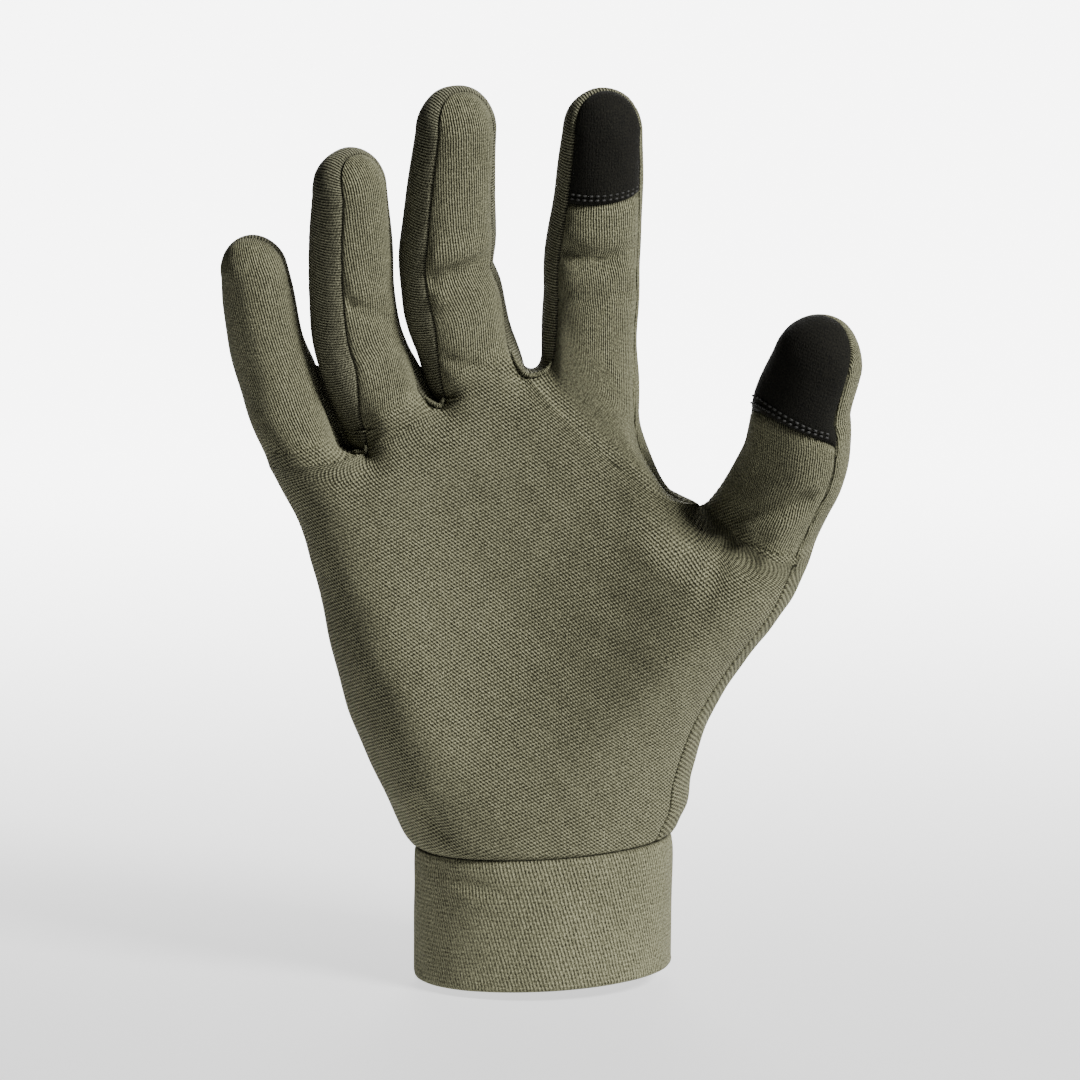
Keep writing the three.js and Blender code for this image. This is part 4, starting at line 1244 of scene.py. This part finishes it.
def cord(path, radius, normal, name, material):
    """A tube along a path, its radius easing to almost nothing at both ends."""
    n = len(path)
    tangent = unit(np.gradient(path, axis=0))
    side = unit(np.cross(tangent, normal))
    up = np.cross(side, tangent)
    turn = np.linspace(0, 2 * math.pi, PIPING_SIDES, endpoint=False)
    share = np.linspace(0, 1, n)
    wide = radius * np.sqrt(np.clip(np.minimum(share, 1 - share) / 0.2, 0.0004, 1))
    gather = 1 + 0.12 * np.cos(np.arange(n) * 1.4)
    p = path[:, None] + (side[:, None] * np.cos(turn)[None, :, None]
                         + up[:, None] * np.sin(turn)[None, :, None]) * (wide * gather)[:, None, None]
    uv = np.stack(np.broadcast_arrays(np.arange(n)[:, None] * 0.2, turn * radius), -1).reshape(-1, 2)
    size = n * PIPING_SIDES
    print(name, "is", round(float(np.linalg.norm(np.diff(path, axis=0), axis=1).sum()), 1), "mm long")
    return save_mesh(name, p.reshape(-1, 3), ring_faces(1, n, PIPING_SIDES), material,
                     [("palm cloth", uv), ("digit cloth", uv)],
                     [("seam", np.full(size, FAR)), ("digit", np.ones(size))])


def crotch_piping(k, reach, radius, name):
    """The seam's path from one finger to the next, a little proud of it, smoothed where it turns."""
    down, down_normal = surface(k, np.linspace(reach[0], 0, 60), np.full(60, PIPING_LINE))
    up, up_normal = surface(k + 1, np.linspace(0, reach[1], 60), np.full(60, -PIPING_LINE))
    path = np.concatenate([down[:-1], up])
    normal = np.concatenate([down_normal[:-1], up_normal])
    padded = np.pad(path, ((4, 4), (0, 0)), mode="edge")
    smooth = np.stack([np.convolve(padded[:, a], np.ones(9) / 9, "valid") for a in range(3)], -1)
    return cord(smooth + normal * PIPING_PROUD, radius, normal, name, sage_jersey)


pipings = [
    crotch_piping(LITTLE, (0.12, 0.2), 0.6, "piping_between_little_and_ring_finger"),
    crotch_piping(RING, (0.18, 0.22), 0.6, "piping_between_ring_and_middle_finger"),
    crotch_piping(MIDDLE, (0.3, 0.3), 0.6, "piping_between_middle_and_index_finger"),
]

# %% [markdown]
# ## Joining the frame
# Every piece rides on the glove's one body. The cloth panels and the cuff stand for the imported solids of the
# same shape, which are hidden.

# %% Bodies, nodes and slots
cloth_pieces = [
    (palm, "palm_panel", "body_knit"),
    (back, "back_panel", "body_knit"),
    (strips[0], "fourchette_little_ring", "body_knit"),
    (strips[1], "fourchette_ring_middle", "body_knit"),
    (strips[2], "fourchette_middle_index", "body_knit"),
    (index_tip, "index_touch_tip", "touch_cloth"),
    (thumb_tip, "thumb_touch_tip", "touch_cloth"),
    (cuff, "cuff_band", "cuff_knit"),
]
for piece, packed, slot in cloth_pieces:
    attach(piece, "root")
    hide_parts(packed)
for piece in pipings + folds:
    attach(piece, "root")
print("cloth pieces:", len(cloth_pieces), "with", len(pipings), "pipings and", len(folds), "pinched folds")

# %% [markdown]
# ## Camera, light and floor
# The photograph looks a little down on the palm with a long lens. Its light is soft and comes from the
# front right and above, so the left of each finger falls into shade. The background is plain white.

# %% Stage
TARGET = np.array([-0.75, 0.0, 108.55]) * MM
ELEVATION, DISTANCE = math.radians(11), 1.0

camera_data = bpy.data.cameras.new("Camera")
camera = bpy.data.objects.new("Camera", camera_data)
bpy.context.scene.collection.objects.link(camera)
# The picture's own focal length and width in pixels, then the width of the sensor in millimetres.
FOCAL_PIXELS, PICTURE_PIXELS, SENSOR = 4100, 1080, 36
camera_data.lens = FOCAL_PIXELS / PICTURE_PIXELS * SENSOR
camera_data.sensor_width = SENSOR
camera.location = TARGET + DISTANCE * np.array([0, -math.cos(ELEVATION), math.sin(ELEVATION)])
camera.rotation_euler = (math.pi / 2 - ELEVATION, 0, 0)
bpy.context.scene.camera = camera


def soft_light(name, place, size, power):
    """A square area light that faces the middle of the glove."""
    data = bpy.data.lights.new(name, "AREA")
    data.shape, data.size, data.energy = "SQUARE", size, power
    lamp = bpy.data.objects.new(name, data)
    bpy.context.scene.collection.objects.link(lamp)
    lamp.location = place
    aim = Vector(TARGET) - Vector(place)
    lamp.rotation_euler = aim.to_track_quat("-Z", "Y").to_euler()


soft_light("Key light from the front right", (0.98, -0.66, 1.0), 0.36, 56)
soft_light("Fill light from the front", (0.5, -1.3, 0.4), 0.6, 0.5)
world = bpy.data.worlds.new("White studio")
bpy.context.scene.world = world
world.use_nodes = True
world.node_tree.nodes["Background"].inputs["Color"].default_value = (1, 1, 1, 1)
world.node_tree.nodes["Background"].inputs["Strength"].default_value = 0.03

# The floor lies just under the cuff, and the paper bends up into a wall behind the glove.
FLOOR = -2.6 * MM
sweep_turn = np.linspace(0, math.pi / 2, 25)
sweep_y = np.concatenate([[-1.2, -0.3, 0.3], 0.7 + 0.5 * np.sin(sweep_turn), [1.2]])
sweep_z = np.concatenate([[0, 0, 0], 0.5 - 0.5 * np.cos(sweep_turn), [2.0]]) + FLOOR
sweep_x = np.linspace(-1.0, 1.0, 9)
sweep = points(sweep_x[None, :], sweep_y[:, None], sweep_z[:, None])
# The paper is grey and glows: its emission is painted light, which makes it read white and lights the glove's
# edges from behind.
paper = bpy.data.materials.new("White paper sweep, brighter away from the glove")
paper.use_nodes = True
paper_tree = paper.node_tree
paper_object = node(paper_tree, "ShaderNodeTexCoord").outputs["Object"]
paper_x, paper_y = node(paper_tree, "ShaderNodeSeparateXYZ", {0: paper_object}).outputs[:2]


def graded(place, start, stop, low, high, kind="LINEAR"):
    """A value that goes from low to high while place, in metres, goes from start to stop."""
    return node(paper_tree, "ShaderNodeMapRange", {0: place, 1: start, 2: stop, 3: low, 4: high},
                interpolation_type=kind).outputs[0]


# The painted glow is strongest far behind the glove and fades at the sides and towards the front.
paper_glow = graded(paper_y, -0.1, 0.8, 1.05, 6.4, "SMOOTHSTEP")
paper_side = graded(maths(paper_tree, "ABSOLUTE", paper_x), 0.27, 0.42, 1.0, 0.03)
paper_near = graded(paper_y, -0.2, -0.1, 0.03, 1.0)
paper_glow = maths(paper_tree, "MULTIPLY", paper_glow, maths(paper_tree, "MULTIPLY", paper_side, paper_near))
paper_bsdf = paper_tree.nodes["Principled BSDF"]
paper_bsdf.inputs["Base Color"].default_value = (0.3, 0.3, 0.3, 1)
paper_bsdf.inputs["Roughness"].default_value = 0.9
paper_bsdf.inputs["Emission Color"].default_value = (1, 1, 1, 1)
paper_tree.links.new(paper_glow, paper_bsdf.inputs["Emission Strength"])
sweep_quads = grid_faces(len(sweep_y), len(sweep_x), 0)
if vertex_normals(sweep.reshape(-1, 3), sweep_quads)[0, 2] < 0:
    sweep_quads = sweep_quads[:, ::-1]
floor = save_mesh("glowing_paper_sweep", sweep.reshape(-1, 3) / MM, sweep_quads, paper)
